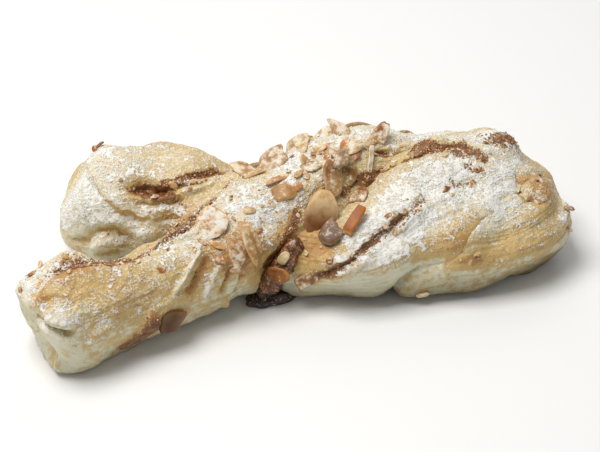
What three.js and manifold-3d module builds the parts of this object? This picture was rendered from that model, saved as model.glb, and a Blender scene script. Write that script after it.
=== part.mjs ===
// An almond puff pastry twist: two folded strips of laminated dough crossed over each other,
// with a brown almond filling in the open fold of each strip and sliced almonds on the crossing.
// Millimetres, +Z up. The base lies on z = 0 and the origin is under the middle of the twist.

import * as THREE from "three";
import { mergeVertices } from "three/addons/utils/BufferGeometryUtils.js";
import Module from "manifold-3d";

const wasm = await Module();
wasm.setup();

// Driving dimensions in millimetres; angles in degrees, with 0 the front of a strip,
// 90 its top and 180 its back; places along a strip as fractions of its length

const clearance = 0.3; // gap between pieces that touch

const ringStep = 4.4; // distance between two sections of a strip
const capReach = 12; // a strip's end rounds off over this length
const capRings = 5;
const roundness = 2.3; // 2 gives an ellipse, more a squarer section
const plainSteps = 26; // section points away from the fold

const foldWidth = 9; // half width of the open fold, in degrees
const foldDepth = 0.28; // its depth, and the height of its lips, as shares of the radius
const lipRise = 0.05;
const foldSteps = [-2.3, -1.5, -0.8, 0, 0.8, 1.5, 2.3]; // section points, in fold widths

const lumpHeight = 0.45; // unevenness of the crust
const lumpWaves = [
  { along: 7, around: 2, start: 0.3 },
  { along: 11, around: -3, start: 1.9 },
  { along: 4, around: 5, start: 4.1 },
];

const station = (along, across, up, wide, tall, slit, gape) => ({
  along, across, up, wide, tall, slit, gape,
});

// A larger swelling or hollow: its middle, its reach, and the way the crust moves there
const pull = (along, across, up, reach, ...move) => ({
  middle: new THREE.Vector3(along, across, up), reach, move: new THREE.Vector3(...move),
});

// The front strip rises over the crossing, rounds the right end and tucks back under itself
const frontStations = [
  station(-102, -34.5, 16, 15, 16, 70, 0.5),
  station(-85, -29.5, 16, 18.5, 18, 92, 0.8),
  station(-53, -18, 16, 16, 17, 88, 0.8),
  station(-14, -2.5, 20, 18.5, 18.5, 108, 0.7),
  station(23, 11.5, 24, 18, 20, 92, 0.7),
  station(56, 12.5, 21, 17, 20, 66, 0.9),
  station(80, 2.5, 19, 16, 18, 62, 0.9),
  station(87, -15.5, 15, 15, 15.5, 60, 0.3),
  station(67, -23.5, 12, 15, 14, 60, 0),
  station(35, -18.5, 10, 12, 11, 60, 0),
];
// Creases run from one place and angle to another, sagging between them; bumps are round
const frontRelief = [
  { kind: "crease", from: 0, to: 0.1, first: 58, last: -8, sag: -22, width: 10, height: -2.6 },
  { kind: "crease", from: 0.03, to: 0.22, first: -56, last: -50, sag: 0, width: 8, height: 2 },
  { kind: "bump", at: 0.012, around: -25, size: 9, height: -4 },
  { kind: "bump", at: 0.772, around: 92, size: 6, height: 2.4 },
  { kind: "bump", at: 0.789, around: 141, size: 4, height: 2.6 },
  { kind: "bump", at: 0.897, around: 142, size: 2.5, height: 1.4 },
];
const frontPulls = [
  pull(-103, -37, 14, 9, 8, 0, 0),
  pull(-93, -41, 2, 12, -2, -1.5, 0),
  pull(-101, -27, 25, 12, -3, 0.5, 1.5),
  pull(-83, -17, 30, 9, 0, 1, 3),
  pull(-70, -12, 29, 8, 0, 0, -7),
  pull(-60, -9, 30, 8, 0, 0, -7),
  pull(-49, -4, 31, 8, 0, 0, -6),
  pull(-72, -47, 3, 14, 0, 2.5, 0),
  pull(-7, -21, 17, 8, -3, 5, 0),
  pull(-25, 10, 37, 10, 0, 2, 5),
  pull(59, 18, 40, 12, 0, 0, -5),
  pull(98, -7, 33, 13, -4, 0, -6),
  pull(103, -13, 15, 9, 1.5, 0, 0),
  pull(98, -29, 3, 10, -2, 2, 0),
  pull(40, -29, 6, 11, -6, -0.8, 0),
  pull(-101.5, -30, 19, 5.5, 5, 0, 0),
  pull(99, -22, 8, 10, 1.8, -0.6, 0),
  pull(-99, -34, 8, 8, 4, 0, 0),
  pull(89, -32, 3, 9, 0, 2, 0),
  pull(74, -37, 3, 13, 0, 5.5, 2),
];
const frontTurn = 0.8; // where the strip doubles back

// The back strip starts as the puffed lobe, passes under the front strip and climbs to the right end
const backStations = [
  station(-82, 27.5, 17, 16, 17, 45, 0),
  station(-67, 27.5, 19, 21, 22, 44, 0.2),
  station(-39, 21.5, 19, 20, 21, 56, 1.2),
  station(-11, 3.5, 14, 17, 16, 108, 0.3),
  station(13, -14.5, 14, 17, 15.5, 10, 0.6),
  station(36, -10.5, 19.5, 19, 17.5, 50, 1),
  station(60, -2.5, 24, 19, 17, 66, 1),
  station(81, 1.5, 25, 17, 16.5, 86, 0.9),
  station(95, -6, 19.5, 14.5, 14.5, 92, 0.2),
];
const backRelief = [
  { kind: "crease", from: 0, to: 0.22, first: 6, last: 2, sag: 6, width: 9, height: -2.4 },
  { kind: "crease", from: 0.05, to: 0.3, first: 64, last: 58, sag: -40, width: 7, height: -1.3 },
  { kind: "bump", at: 0.905, around: 94, size: 4.5, height: 2.2 },
];
const backPulls = [
  pull(-81, 36, 36, 13, 6, 0, -7),
  pull(-82, 20, 9, 12, -3, -4, 0),
  pull(8, -31, 3, 12, 0, 4, 0),
  pull(31, -30, 3, 12, 0, -4, 0),
  pull(76, 6, 42, 12, 0, 0, -3),
  pull(89, 6, 40, 7, 0, 0, -5),
  pull(96, 0, 35, 13, -4, 0, -7),
  pull(36, -32, 6, 9, -1, 4, 2),
  pull(82.5, 5, 43, 6, 1, 0, 5),
  pull(75, 14, 42, 9, 0, 0, -2),
  pull(85.5, 3, 43, 5.5, 1.5, 0, 5.5),
  pull(90, 7, 36, 7.5, -1.5, 0, -6.5),
  pull(-48, 33, 41, 12, 0, 0, -2),
];

// Filling ribbons: each runs inside one fold, from near the strip's middle up into the fold
const ribbonHalf = 1.4;
const ribbonInner = 0.18;
const ribbonRise = 0.45; // how far it fills the fold
const ribbonCrown = 0.5;
const ribbonStep = 6;
const ribbons = [
  { name: "filling_front", strip: "front", from: 0.05, to: 0.64 },
  { name: "filling_back_left", strip: "back", from: 0.13, to: 0.31 },
  { name: "filling_back_right", strip: "back", from: 0.56, to: 0.87 },
];

// Filling that ran out of the crossing and set in front of it
const leakPath = [
  { along: -1, across: -17.5, up: 27, radius: 2.4 },
  { along: -5.5, across: -19.8, up: 21, radius: 4 },
  { along: -10, across: -19.8, up: 14, radius: 4.8 },
  { along: -12.5, across: -18, up: 7, radius: 4.8 },
  { along: -13, across: -16.5, up: 1.5, radius: 4.4 },
];
const leakSides = 12;
const leakRings = 9;
const puddle = { along: -12, across: -18, up: 1, long: 9.5, wide: 4.8, tall: 3.2 };

// Almond slices, baked into the crust: turn is the long axis from the strip's direction, lift raises
// the pointed end, roll tips the slice about its long axis, and out is how far its middle stands off
const sliceThick = 1.2;
const sliceSegments = 4;
const sliceSink = 0.3; // a flat slice's middle lies this deep in the crust
const settleStep = 0.25;
const settleReach = 4; // a slice that would have to move further is left out
const slice = (strip, at, around, long, wide, turn, lift = 0, roll = 0, out = 0) => ({
  strip, at, around, long, wide, turn, lift, roll, out,
});
const shownSlices = [
  slice("front", 0.413, 30, 17.5, 12.5, 58, 0, -14, 3.5),
  slice("front", 0.278, 80, 12.5, 11.5, 49, 28, 0),
  slice("front", 0.42, 119, 14.5, 9.5, 4, 8, 6),
  slice("front", 0.385, 70, 9.5, 6.5, -28, 3, 2),
  slice("front", 0.453, 55, 14, 7, 75, 8, 5, 1),
  slice("front", 0.475, 64, 10, 5.5, 51, 14, 2, 0.5),
  slice("front", 0.483, 55, 11, 5.5, 69, 6, -3),
  slice("front", 0.457, 117, 11.5, 8, -14, 18, 16),
  slice("front", 0.484, 112, 10.5, 6.5, 40, 12, -8),
  slice("front", 0.501, 108, 12, 4.5, 116, 16, -20),
  slice("front", 0.473, 97, 11.5, 5.5, -25, 4, 10, 0.8),
  slice("front", 0.447, 82, 10.5, 7.5, 13, 4, 3),
  slice("front", 0.505, 79, 12, 7, 35, 17, 11),
  slice("front", 0.539, 89, 13.5, 6, 48, 20, 0),
  slice("front", 0.313, 42, 13.5, 4.5, -84, 4, 20),
  slice("front", 0.303, 34, 14.5, 4.5, -98, 4, -10),
  slice("front", 0.285, 28, 13, 6.5, -103, 5, 0),
  slice("front", 0.179, -8, 12, 10, -14, 2, 3, 0.5),
  slice("back", 0.637, 106, 9.5, 6.5, 31, 10, 7),
  slice("back", 0.557, 73, 12.5, 8.5, 51, 9, 8, 1.5),
  slice("back", 0.598, 78, 12, 6, 28, 6, 8, 1),
  slice("back", 0.491, 15, 10.5, 8.5, 20, 5, 0, 4),
  slice("back", 0.491, 29, 7.5, 5.5, 70, 0, -5, 3.5),
  slice("back", 0.53, 5, 13.5, 5, 34, 0, 0, 0.4),
];
const scattered = {
  count: 9, strip: "front", from: 0.33, to: 0.6, low: 112, high: 168, seed: 20, reach: 0.6, tries: 90,
};

const pastryFinish = new THREE.MeshStandardMaterial({ color: 0xdcb87c, roughness: 0.72, metalness: 0 });
const fillingFinish = new THREE.MeshStandardMaterial({ color: 0x6e3f1c, roughness: 0.45, metalness: 0 });
const leakFinish = new THREE.MeshStandardMaterial({ color: 0x4a2614, roughness: 0.25, metalness: 0 });
const almondFinish = new THREE.MeshStandardMaterial({ color: 0xd6ae74, roughness: 0.6, metalness: 0 });

// Small helpers

const radians = THREE.MathUtils.degToRad;

const placed = ({ along, across, up }) => new THREE.Vector3(along, across, up);

const smoothCurve = (points) => new THREE.CatmullRomCurve3(points, false, "catmullrom", 0.5);

const bell = (distance) => Math.exp(-distance * distance);

const squared = (value, power) => Math.sign(value) * Math.pow(Math.abs(value), power);

function angleBetween(first, second) {
  const turn = (first - second + Math.PI) / (2 * Math.PI);
  return (turn - Math.floor(turn)) * 2 * Math.PI - Math.PI;
}

function seededDraw(seed) {
  let state = seed;
  return () => {
    state = (Math.imul(state, 1664525) + 1013904223) >>> 0;
    return state / 2 ** 32;
  };
}

function toSolid(geometry) {
  const bare = geometry.clone();
  bare.deleteAttribute("normal");
  bare.deleteAttribute("uv");
  const merged = mergeVertices(bare, 1e-4);
  const vertProperties = new Float32Array(merged.getAttribute("position").array);
  const triVerts = new Uint32Array(merged.getIndex().array);
  return new wasm.Manifold(new wasm.Mesh({ numProp: 3, vertProperties, triVerts }));
}

function toGeometry(solid) {
  const { vertProperties, triVerts } = solid.getMesh();
  const geometry = new THREE.BufferGeometry();
  geometry.setAttribute("position", new THREE.BufferAttribute(vertProperties, 3));
  geometry.setIndex(new THREE.BufferAttribute(triVerts, 1));
  geometry.computeVertexNormals();
  return geometry;
}

function largestPiece(solid) {
  const pieces = solid.decompose();
  return pieces.reduce((best, piece) => (piece.volume() > best.volume() ? piece : best));
}

// A closed solid through rings of points, each ring running from the front over the top
function loft(rings) {
  const count = rings[0].length;
  const last = rings.length - 1;
  const points = rings.flat();
  const faces = [];
  for (let ring = 0; ring < last; ring++) {
    for (let step = 0; step < count; step++) {
      const here = ring * count + step;
      const next = ring * count + ((step + 1) % count);
      faces.push(here, here + count, next, next, here + count, next + count);
    }
  }
  for (const ring of [0, last]) {
    const middle = points.length;
    points.push(rings[ring].reduce((sum, point) => sum.add(point), new THREE.Vector3()).divideScalar(count));
    for (let step = 0; step < count; step++) {
      const here = ring * count + step;
      const next = ring * count + ((step + 1) % count);
      faces.push(middle, ...(ring === 0 ? [here, next] : [next, here]));
    }
  }
  const geometry = new THREE.BufferGeometry().setFromPoints(points);
  geometry.setIndex(faces);
  return toSolid(geometry);
}

// A strip of folded dough along a smooth line through its stations

class Strip {
  constructor(stations, relief, pulls) {
    this.line = smoothCurve(stations.map(placed));
    this.sizes = smoothCurve(stations.map((s) => new THREE.Vector3(s.wide, s.tall, s.gape)));
    this.folds = smoothCurve(stations.map((s) => new THREE.Vector3(s.slit, 0, 0)));
    this.length = this.line.getLength();
    this.relief = relief;
    this.pulls = pulls;
  }

  section(at) {
    const place = THREE.MathUtils.clamp(at, 0, 1);
    const t = this.line.getUtoTmapping(place);
    const tangent = this.line.getTangent(t);
    const side = new THREE.Vector3().crossVectors(tangent, new THREE.Vector3(0, 0, 1)).normalize();
    const up = new THREE.Vector3().crossVectors(side, tangent);
    const size = this.sizes.getPoint(t);
    const fromEnd = Math.min(place, 1 - place) * this.length;
    const cap = Math.sqrt(1 - Math.pow(1 - Math.min(fromEnd / capReach, 1), 2));
    return {
      middle: this.line.getPoint(t), tangent, side, up, cap, bend: this.bend(place, side),
      wide: size.x * cap, tall: size.y * cap, gape: size.z, slit: radians(this.folds.getPoint(t).x),
    };
  }

  // Bend towards the front side, one over the turning radius
  bend(at, side) {
    const reach = 5 / this.length;
    const before = this.line.getTangentAt(Math.max(at - reach, 0));
    const after = this.line.getTangentAt(Math.min(at + reach, 1));
    return after.sub(before).dot(side) / (2 * reach * this.length);
  }

  crease(mark, at, around) {
    const share = THREE.MathUtils.clamp((at - mark.from) / (mark.to - mark.from), 0, 1);
    const line = THREE.MathUtils.lerp(mark.first, mark.last, share) + mark.sag * Math.sin(Math.PI * share);
    const fade = 1 - THREE.MathUtils.smoothstep(share, 0.6, 1);
    const start = THREE.MathUtils.smoothstep(at, mark.from - 0.03, mark.from + 0.02);
    return mark.height * start * fade * bell(angleBetween(around, radians(line)) / radians(mark.width));
  }

  bump(mark, at, around, radius) {
    const off = angleBetween(around, radians(mark.around)) * radius;
    return mark.height * bell(Math.hypot((at - mark.at) * this.length, off) / mark.size);
  }

  height(at, around, radius) {
    let height = 0;
    for (const mark of this.relief) height += this[mark.kind](mark, at, around, radius);
    for (const wave of lumpWaves) {
      height += lumpHeight * Math.sin(2 * Math.PI * wave.along * at + wave.around * around + wave.start);
    }
    return height;
  }

  // A point on the crust, or on the crust grown outward
  point(at, around, grow = 0) {
    const s = this.section(at);
    const flat = squared(Math.cos(around), 2 / roundness) * s.wide;
    const rise = squared(Math.sin(around), 2 / roundness) * s.tall;
    const radius = Math.max(Math.hypot(flat, rise), 0.01);
    const off = Math.abs(angleBetween(around, s.slit)) / radians(foldWidth);
    const fold = s.gape * (lipRise * bell((off - 2.2) / 1.3) - foldDepth * bell(off));
    const scale = 1 + fold + (this.height(at, around, radius) * s.cap + grow) / radius;
    const inward = Math.max(flat * scale * s.bend, 0);
    const across = (flat * scale) / Math.cbrt(1 + inward ** 3);
    return this.pulled(s.middle.addScaledVector(s.side, across).addScaledVector(s.up, rise * scale));
  }

  pulled(plain) {
    const point = plain.clone();
    for (const { middle, reach, move } of this.pulls) {
      point.addScaledVector(move, bell(plain.distanceTo(middle) / reach));
    }
    return point;
  }

  normal(at, around) {
    const small = 0.01;
    const along = this.point(at + small, around).sub(this.point(at - small, around));
    const round = this.point(at, around + 0.2).sub(this.point(at, around - 0.2));
    return along.cross(round).normalize();
  }

  ring(at, grow) {
    const { slit } = this.section(at);
    const widest = foldSteps[foldSteps.length - 1] + 1.2;
    const gap = radians(360 - 2 * widest * foldWidth) / (plainSteps - 1);
    const offsets = foldSteps.map((step) => radians(step * foldWidth));
    for (let step = 0; step < plainSteps; step++) offsets.push(radians(widest * foldWidth) + step * gap);
    return offsets.map((offset) => this.point(at, slit + offset, grow));
  }

  // Places of the sections: close together on the rounded ends, even between them
  places() {
    const cap = capReach / this.length;
    const ends = [];
    for (let step = 0; step < capRings; step++) {
      ends.push(cap * (1 - Math.cos(((step + 0.35) / capRings) * (Math.PI / 2))));
    }
    const even = Math.round((this.length - 2 * capReach) / ringStep);
    const middle = [];
    for (let step = 0; step <= even; step++) middle.push(cap + (step / even) * (1 - 2 * cap));
    return [...ends, ...middle, ...ends.map((end) => 1 - end).reverse()];
  }

  // The strip's dough, in two lengths where it doubles back on itself
  dough(turn = 1, grow = 0) {
    const places = this.places();
    const rings = places.map((at) => this.ring(at, grow));
    const cut = places.findIndex((at) => at >= turn);
    if (cut < 0) return loft(rings);
    return loft(rings.slice(0, cut + 1)).add(loft(rings.slice(cut)));
  }
}

const strips = {
  front: new Strip(frontStations, frontRelief, frontPulls),
  back: new Strip(backStations, backRelief, backPulls),
};

// A ribbon of filling inside the open fold of a strip

function ribbonSolid({ strip, from, to }, grow = 0) {
  const dough = strips[strip];
  const spare = grow / dough.length;
  const steps = Math.ceil(((to - from) * dough.length) / ribbonStep);
  const rings = [];
  for (let step = 0; step <= steps; step++) {
    const at = from - spare + ((to - from + 2 * spare) * step) / steps;
    const s = dough.section(at);
    const outward = dough.point(at, s.slit + radians(180)).sub(s.middle).negate().normalize();
    const sideways = new THREE.Vector3().crossVectors(s.tangent, outward);
    const bottom = dough.point(at, s.slit).distanceTo(s.middle);
    const edge = bottom + ribbonRise * foldDepth * s.gape * s.tall;
    const inner = ribbonInner * bottom - grow;
    const half = ribbonHalf + grow;
    const corner = (out, off) =>
      s.middle.clone().addScaledVector(outward, out).addScaledVector(sideways, off);
    rings.push([
      corner(inner, -half),
      corner(edge + grow, -half),
      corner(edge + grow + ribbonCrown, 0),
      corner(edge + grow, half),
      corner(inner, half),
    ].reverse());
  }
  return loft(rings);
}

// Everything under the surface the twist rests on

function belowFloor() {
  const box = new THREE.BoxGeometry(400, 400, 40);
  box.translate(0, 0, -20);
  return toSolid(box);
}

function wholeDough(grow = 0) {
  return strips.front.dough(frontTurn, grow).add(strips.back.dough(1, grow));
}

function pastrySolid(pockets) {
  const hollows = [belowFloor(), ...ribbons.map((ribbon) => ribbonSolid(ribbon, clearance)), ...pockets];
  return largestPiece(hollows.reduce((solid, hollow) => solid.subtract(hollow), wholeDough()));
}

// The set leak: a runnel down the crossing and the puddle at its foot

function leakSolid() {
  const path = smoothCurve(leakPath.map(placed));
  const radii = smoothCurve(leakPath.map((stop) => new THREE.Vector3(stop.radius, 0, 0)));
  const frames = path.computeFrenetFrames(leakRings - 1);
  const rings = [];
  for (let ring = 0; ring < leakRings; ring++) {
    const at = ring / (leakRings - 1);
    const radius = radii.getPoint(path.getUtoTmapping(at)).x;
    const points = [];
    for (let step = 0; step < leakSides; step++) {
      const around = (step / leakSides) * 2 * Math.PI;
      points.push(path.getPointAt(at)
        .addScaledVector(frames.normals[ring], Math.cos(around) * radius)
        .addScaledVector(frames.binormals[ring], -Math.sin(around) * radius));
    }
    rings.push(points);
  }
  const pool = new THREE.SphereGeometry(1, 16, 10);
  pool.scale(puddle.long, puddle.wide, puddle.tall);
  pool.translate(puddle.along, puddle.across, puddle.up);
  return largestPiece(loft(rings).add(toSolid(pool)).subtract(belowFloor()).subtract(wholeDough(clearance)));
}

// One slice: a pointed oval plate, moved out from its seat until it is clear of the slices below it

function sliceGeometry(long, wide, thick) {
  const tip = long / 2;
  const broad = wide / 2;
  const outline = new THREE.Shape();
  outline.moveTo(tip, 0);
  outline.quadraticCurveTo(0.55 * tip, broad, -0.1 * tip, broad);
  outline.bezierCurveTo(-0.72 * tip, broad, -tip, 0.55 * broad, -tip, 0);
  outline.bezierCurveTo(-tip, -0.55 * broad, -0.72 * tip, -broad, -0.1 * tip, -broad);
  outline.quadraticCurveTo(0.55 * tip, -broad, tip, 0);
  const plate = new THREE.ExtrudeGeometry(outline, {
    depth: thick, bevelEnabled: false, curveSegments: sliceSegments,
  });
  plate.translate(0, 0, -thick / 2);
  return plate;
}

function sliceFrame({ strip, at, around, turn, lift, roll }) {
  const dough = strips[strip];
  const normal = dough.normal(at, radians(around));
  const tangent = dough.section(at).tangent;
  const along = tangent.addScaledVector(normal, -tangent.dot(normal)).normalize();
  const across = new THREE.Vector3().crossVectors(normal, along);
  const lie = new THREE.Matrix4().makeBasis(along, across, normal);
  lie.multiply(new THREE.Matrix4().makeRotationZ(radians(turn)));
  lie.multiply(new THREE.Matrix4().makeRotationY(radians(-lift)));
  lie.multiply(new THREE.Matrix4().makeRotationX(radians(roll)));
  return { lie, normal, seat: dough.point(at, radians(around)) };
}

function settledSlice(place, reach) {
  const { lie, normal, seat } = sliceFrame(place);
  const start = place.out - sliceSink + (place.long / 2) * Math.sin(radians(place.lift)) * 0.7;
  const spare = 2 * clearance;
  const grown = sliceGeometry(place.long + spare, place.wide + spare, sliceThick + spare);
  const probe = toSolid(grown.applyMatrix4(lie));
  for (let out = start; out < start + reach; out += settleStep) {
    const centre = seat.clone().addScaledVector(normal, out);
    const pocket = probe.translate(centre.toArray());
    if (blockers.some((blocker) => pocket.intersect(blocker).volume() > 0)) continue;
    const mesh = new THREE.Mesh(sliceGeometry(place.long, place.wide, sliceThick), almondFinish);
    mesh.setRotationFromMatrix(lie);
    mesh.position.copy(centre);
    mesh.updateMatrix();
    return { mesh, pocket };
  }
  return null;
}

// Slices the view leaves hidden, drawn over the back of the crossing

const draw = seededDraw(scattered.seed);

const between = (low, high) => low + draw() * (high - low);

function scatteredSlice(share) {
  const at = scattered.from + (share + draw() / scattered.count) * (scattered.to - scattered.from);
  const around = between(scattered.low, scattered.high);
  return slice(
    scattered.strip, at, around, between(11, 15), between(7.5, 10),
    between(0, 360), between(2, 14), between(-12, 12),
  );
}

// The whole twist

const twist = new THREE.Group();
twist.name = "almond_twist";

function addSolid(name, solid, finish) {
  const mesh = new THREE.Mesh(toGeometry(solid), finish);
  mesh.name = name;
  twist.add(mesh);
}

const leak = leakSolid();
const blockers = [leak, ...ribbons.map((ribbon) => ribbonSolid(ribbon))];
const pockets = [];

function addSlice(place, reach) {
  const settled = settledSlice(place, reach);
  if (!settled) return;
  const { mesh, pocket } = settled;
  pockets.push(pocket);
  mesh.name = `almond_${String(pockets.length).padStart(2, "0")}`;
  blockers.push(toSolid(mesh.geometry.clone().applyMatrix4(mesh.matrix)));
  twist.add(mesh);
}

for (const place of shownSlices) addSlice(place, settleReach);
const sliceCount = pockets.length + scattered.count;
for (let index = 0; index < scattered.tries && pockets.length < sliceCount; index++) {
  addSlice(scatteredSlice((index % scattered.count) / scattered.count), scattered.reach);
}
addSolid("pastry", pastrySolid(pockets), pastryFinish);
addSolid("filling_leak", leak, leakFinish);
for (const ribbon of ribbons) addSolid(ribbon.name, ribbonSolid(ribbon), fillingFinish);

export default twist;
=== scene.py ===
# Almond puff pastry twist: two folded strips of dough, brown filling, sliced almonds and sifted sugar
import bpy
import numpy as np
from math import radians
from mathutils import Matrix, Vector
from mathutils.bvhtree import BVHTree


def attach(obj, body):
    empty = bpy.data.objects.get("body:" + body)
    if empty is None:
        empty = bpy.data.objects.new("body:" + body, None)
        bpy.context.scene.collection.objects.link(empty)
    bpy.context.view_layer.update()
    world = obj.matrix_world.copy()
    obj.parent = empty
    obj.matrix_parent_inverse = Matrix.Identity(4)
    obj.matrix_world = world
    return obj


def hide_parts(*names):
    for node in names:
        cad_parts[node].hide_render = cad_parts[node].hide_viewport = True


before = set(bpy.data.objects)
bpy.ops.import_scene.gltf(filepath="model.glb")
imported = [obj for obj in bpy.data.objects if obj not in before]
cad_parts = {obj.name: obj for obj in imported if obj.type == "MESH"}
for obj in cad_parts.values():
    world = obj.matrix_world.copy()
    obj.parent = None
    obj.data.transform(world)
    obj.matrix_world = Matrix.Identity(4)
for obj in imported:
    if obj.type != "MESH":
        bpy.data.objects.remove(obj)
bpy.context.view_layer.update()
scene = bpy.context.scene
mm = 0.001
print("frame loaded,", len(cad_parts), "nodes")


# Small helpers for numbers and arrays

def bell(distance):
    return np.exp(-distance * distance)


def smooth(value, low, high):
    share = np.clip((value - low) / (high - low), 0, 1)
    return share * share * (3 - 2 * share)


def unit(vectors):
    return vectors / np.maximum(np.linalg.norm(vectors, axis=-1, keepdims=True), 1e-9)


def squared(value, power):
    return np.sign(value) * np.abs(value) ** power


def angleBetween(first, second):                     # degrees, from -180 to 180
    return (first - second + 180) % 360 - 180


def through(rows, t):                                # smooth curve through numbered rows
    padded = np.vstack([2 * rows[0] - rows[1], rows, 2 * rows[-1] - rows[-2]])
    index = np.clip(np.floor(t).astype(int), 0, len(rows) - 2)
    part = (t - index)[..., None]
    before, here, there, after = (padded[index + step] for step in range(4))
    bendIn = 2 * before - 5 * here + 4 * there - after
    bendOut = 3 * here - before - 3 * there + after
    return here + 0.5 * ((there - before) * part + bendIn * part ** 2 + bendOut * part ** 3)


def cornerValue(x, y, z, seed):                      # repeatable value from 0 to 1 for each lattice corner
    mixed = x * 73856093 ^ y * 19349663 ^ z * 83492791 ^ seed * 2654435761
    mixed = (mixed ^ (mixed >> 13)) * 1274126177
    return ((mixed ^ (mixed >> 16)) & 0xffff) / 65535.0


def mottle(points, size, seed=0):                    # smooth noise from -1 to 1
    spot = points / size
    low = np.floor(spot).astype(np.int64)
    part = spot - low
    part = part * part * (3 - 2 * part)
    total = 0
    for corner in np.ndindex(2, 2, 2):
        weight = np.prod(np.where(np.array(corner) == 1, part, 1 - part), axis=-1)
        x, y, z = np.moveaxis(low + np.array(corner), -1, 0)
        total = total + weight * cornerValue(x, y, z, seed)
    return 2 * total - 1


def rough(points, size, seed=0, layers=3):           # noise with finer and finer layers
    return sum(0.5 ** layer * mottle(points, size * 0.5 ** layer, seed + layer) for layer in range(layers))


def blisters(points, size, seed=0):                  # round swellings with creases between them, 0 to 1
    spot = points / size
    low = np.floor(spot).astype(np.int64)
    nearest = np.full(points.shape[:-1], 9.0)
    for step in np.ndindex(3, 3, 3):
        x, y, z = np.moveaxis(low + np.array(step) - 1, -1, 0)
        scatter = [cornerValue(x, y, z, seed + axis) for axis in range(3)]
        gap = np.stack([x + scatter[0], y + scatter[1], z + scatter[2]], axis=-1) - spot
        nearest = np.minimum(nearest, (gap * gap).sum(axis=-1))
    return 1 - np.clip(nearest, 0, 1)


def linear(red, green, blue):                        # a colour as seen on screen, 0 to 255, as light
    seen = np.array([red, green, blue]) / 255
    return tuple(np.where(seen > 0.04045, ((seen + 0.055) / 1.055) ** 2.4, seen / 12.92).tolist()) + (1.0,)


# Meshes and their attributes

def meshPiece(name, points, faces, material, replaced=(), marks=None):
    mesh = bpy.data.meshes.new(name)
    mesh.from_pydata((np.asarray(points) * mm).tolist(), [], faces)
    for key, values in (marks or {}).items():
        kind = {1: "FLOAT", 3: "FLOAT_VECTOR", 4: "FLOAT_COLOR"}[1 if values.ndim == 1 else values.shape[1]]
        field = {"FLOAT": "value", "FLOAT_VECTOR": "vector", "FLOAT_COLOR": "color"}[kind]
        layer = mesh.attributes.new(key, kind, "POINT")
        layer.data.foreach_set(field, np.ascontiguousarray(values, np.float32).ravel())
    mesh.polygons.foreach_set("use_smooth", [True] * len(mesh.polygons))
    mesh.materials.append(material)
    mesh.update()
    piece = bpy.data.objects.new(name, mesh)
    scene.collection.objects.link(piece)
    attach(piece, "root")
    if replaced:
        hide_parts(*replaced)
    print("piece", name, len(mesh.polygons), "faces")


def gridFaces(along, around, offset=0):              # closed loft of rings, with a fan on both ends
    ring, step = np.meshgrid(np.arange(along - 1), np.arange(around), indexing="ij")
    here = (ring * around + step).ravel()
    beside = (ring * around + (step + 1) % around).ravel()
    quads = np.stack([here, here + around, beside + around, beside], axis=1) + offset
    first = np.arange(around)
    last = first + (along - 1) * around
    count = along * around
    startFan = np.stack([np.full(around, count), first, np.roll(first, -1)], axis=1) + offset
    endFan = np.stack([np.full(around, count + 1), np.roll(last, -1), last], axis=1) + offset
    return quads.tolist() + startFan.tolist() + endFan.tolist()


def closedGrid(grid):                                # ring points and the two end points
    return np.vstack([grid.reshape(-1, grid.shape[-1]), grid[0].mean(axis=0), grid[-1].mean(axis=0)])


def gridNormals(grid):
    along = np.gradient(grid, axis=0)
    around = np.roll(grid, -1, axis=1) - np.roll(grid, 1, axis=1)
    return unit(np.cross(along, around))


# Shader sums: a socket that takes part in Python expressions

class Wire:
    def __init__(self, tree, socket=None):
        self.tree = tree
        self.socket = socket

    def node(self, kind, settings=None, inputs=None, out=0):
        made = self.tree.nodes.new(kind)
        for key, value in (settings or {}).items():
            setattr(made, key, value)
        for key, value in (inputs or {}).items():
            if isinstance(value, Wire):
                self.tree.links.new(value.socket, made.inputs[key])
            else:
                made.inputs[key].default_value = value
        return Wire(self.tree, made.outputs[out])

    def maths(self, operation, first, second):
        return self.node("ShaderNodeMath", {"operation": operation}, {0: first, 1: second})

    def __add__(self, other):
        return self.maths("ADD", self, other)

    def __sub__(self, other):
        return self.maths("SUBTRACT", self, other)

    def __mul__(self, other):
        return self.maths("MULTIPLY", self, other)

    __radd__ = __add__


def mark(wire, name, out="Fac"):                     # a mesh attribute
    return wire.node("ShaderNodeAttribute", {"attribute_name": name}, None, out)


def onObject(wire):                                  # place on the object, in metres
    return wire.node("ShaderNodeTexCoord", None, None, "Object")


# scale and detail of each noise; the first two are on places in millimetres
noises = {
    "fibre": (1.0, 4.0), "almondFibre": (1.0, 3.0), "broad": (90.0, 3.0), "cobble": (260.0, 2.0),
    "lump": (420.0, 3.0), "crumb": (520.0, 3.0), "loose": (600.0, 2.0), "clump": (900.0, 2.0),
    "fleck": (1300.0, 2.0), "speck": (1500.0, 2.0),
}


def noise(wire, place, name, grain=0.55):
    scale, detail = noises[name]
    return wire.node("ShaderNodeTexNoise", None,
                     {"Vector": place, "Scale": scale, "Detail": detail, "Roughness": grain}, "Fac")


def uneven(*parts):                                  # noises about zero, each with its weight
    return sum((value - 0.5) * weight for value, weight in parts)


def stretched(wire, place, scale):                   # place scaled along each axis
    return wire.node("ShaderNodeVectorMath", {"operation": "MULTIPLY"}, {0: place, 1: scale})


def ramp(wire, value, low, high):                    # smooth step from 0 to 1
    return wire.node("ShaderNodeMapRange", {"interpolation_type": "SMOOTHSTEP"},
                     {"Value": value, "From Min": low, "From Max": high}, 0)


def tint(wire, share, first, second, blend="MIX"):   # colour between two, or one blended onto the other
    return wire.node("ShaderNodeMix", {"data_type": "RGBA", "blend_type": blend},
                     {0: share, 6: first, 7: second}, 2)


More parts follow.
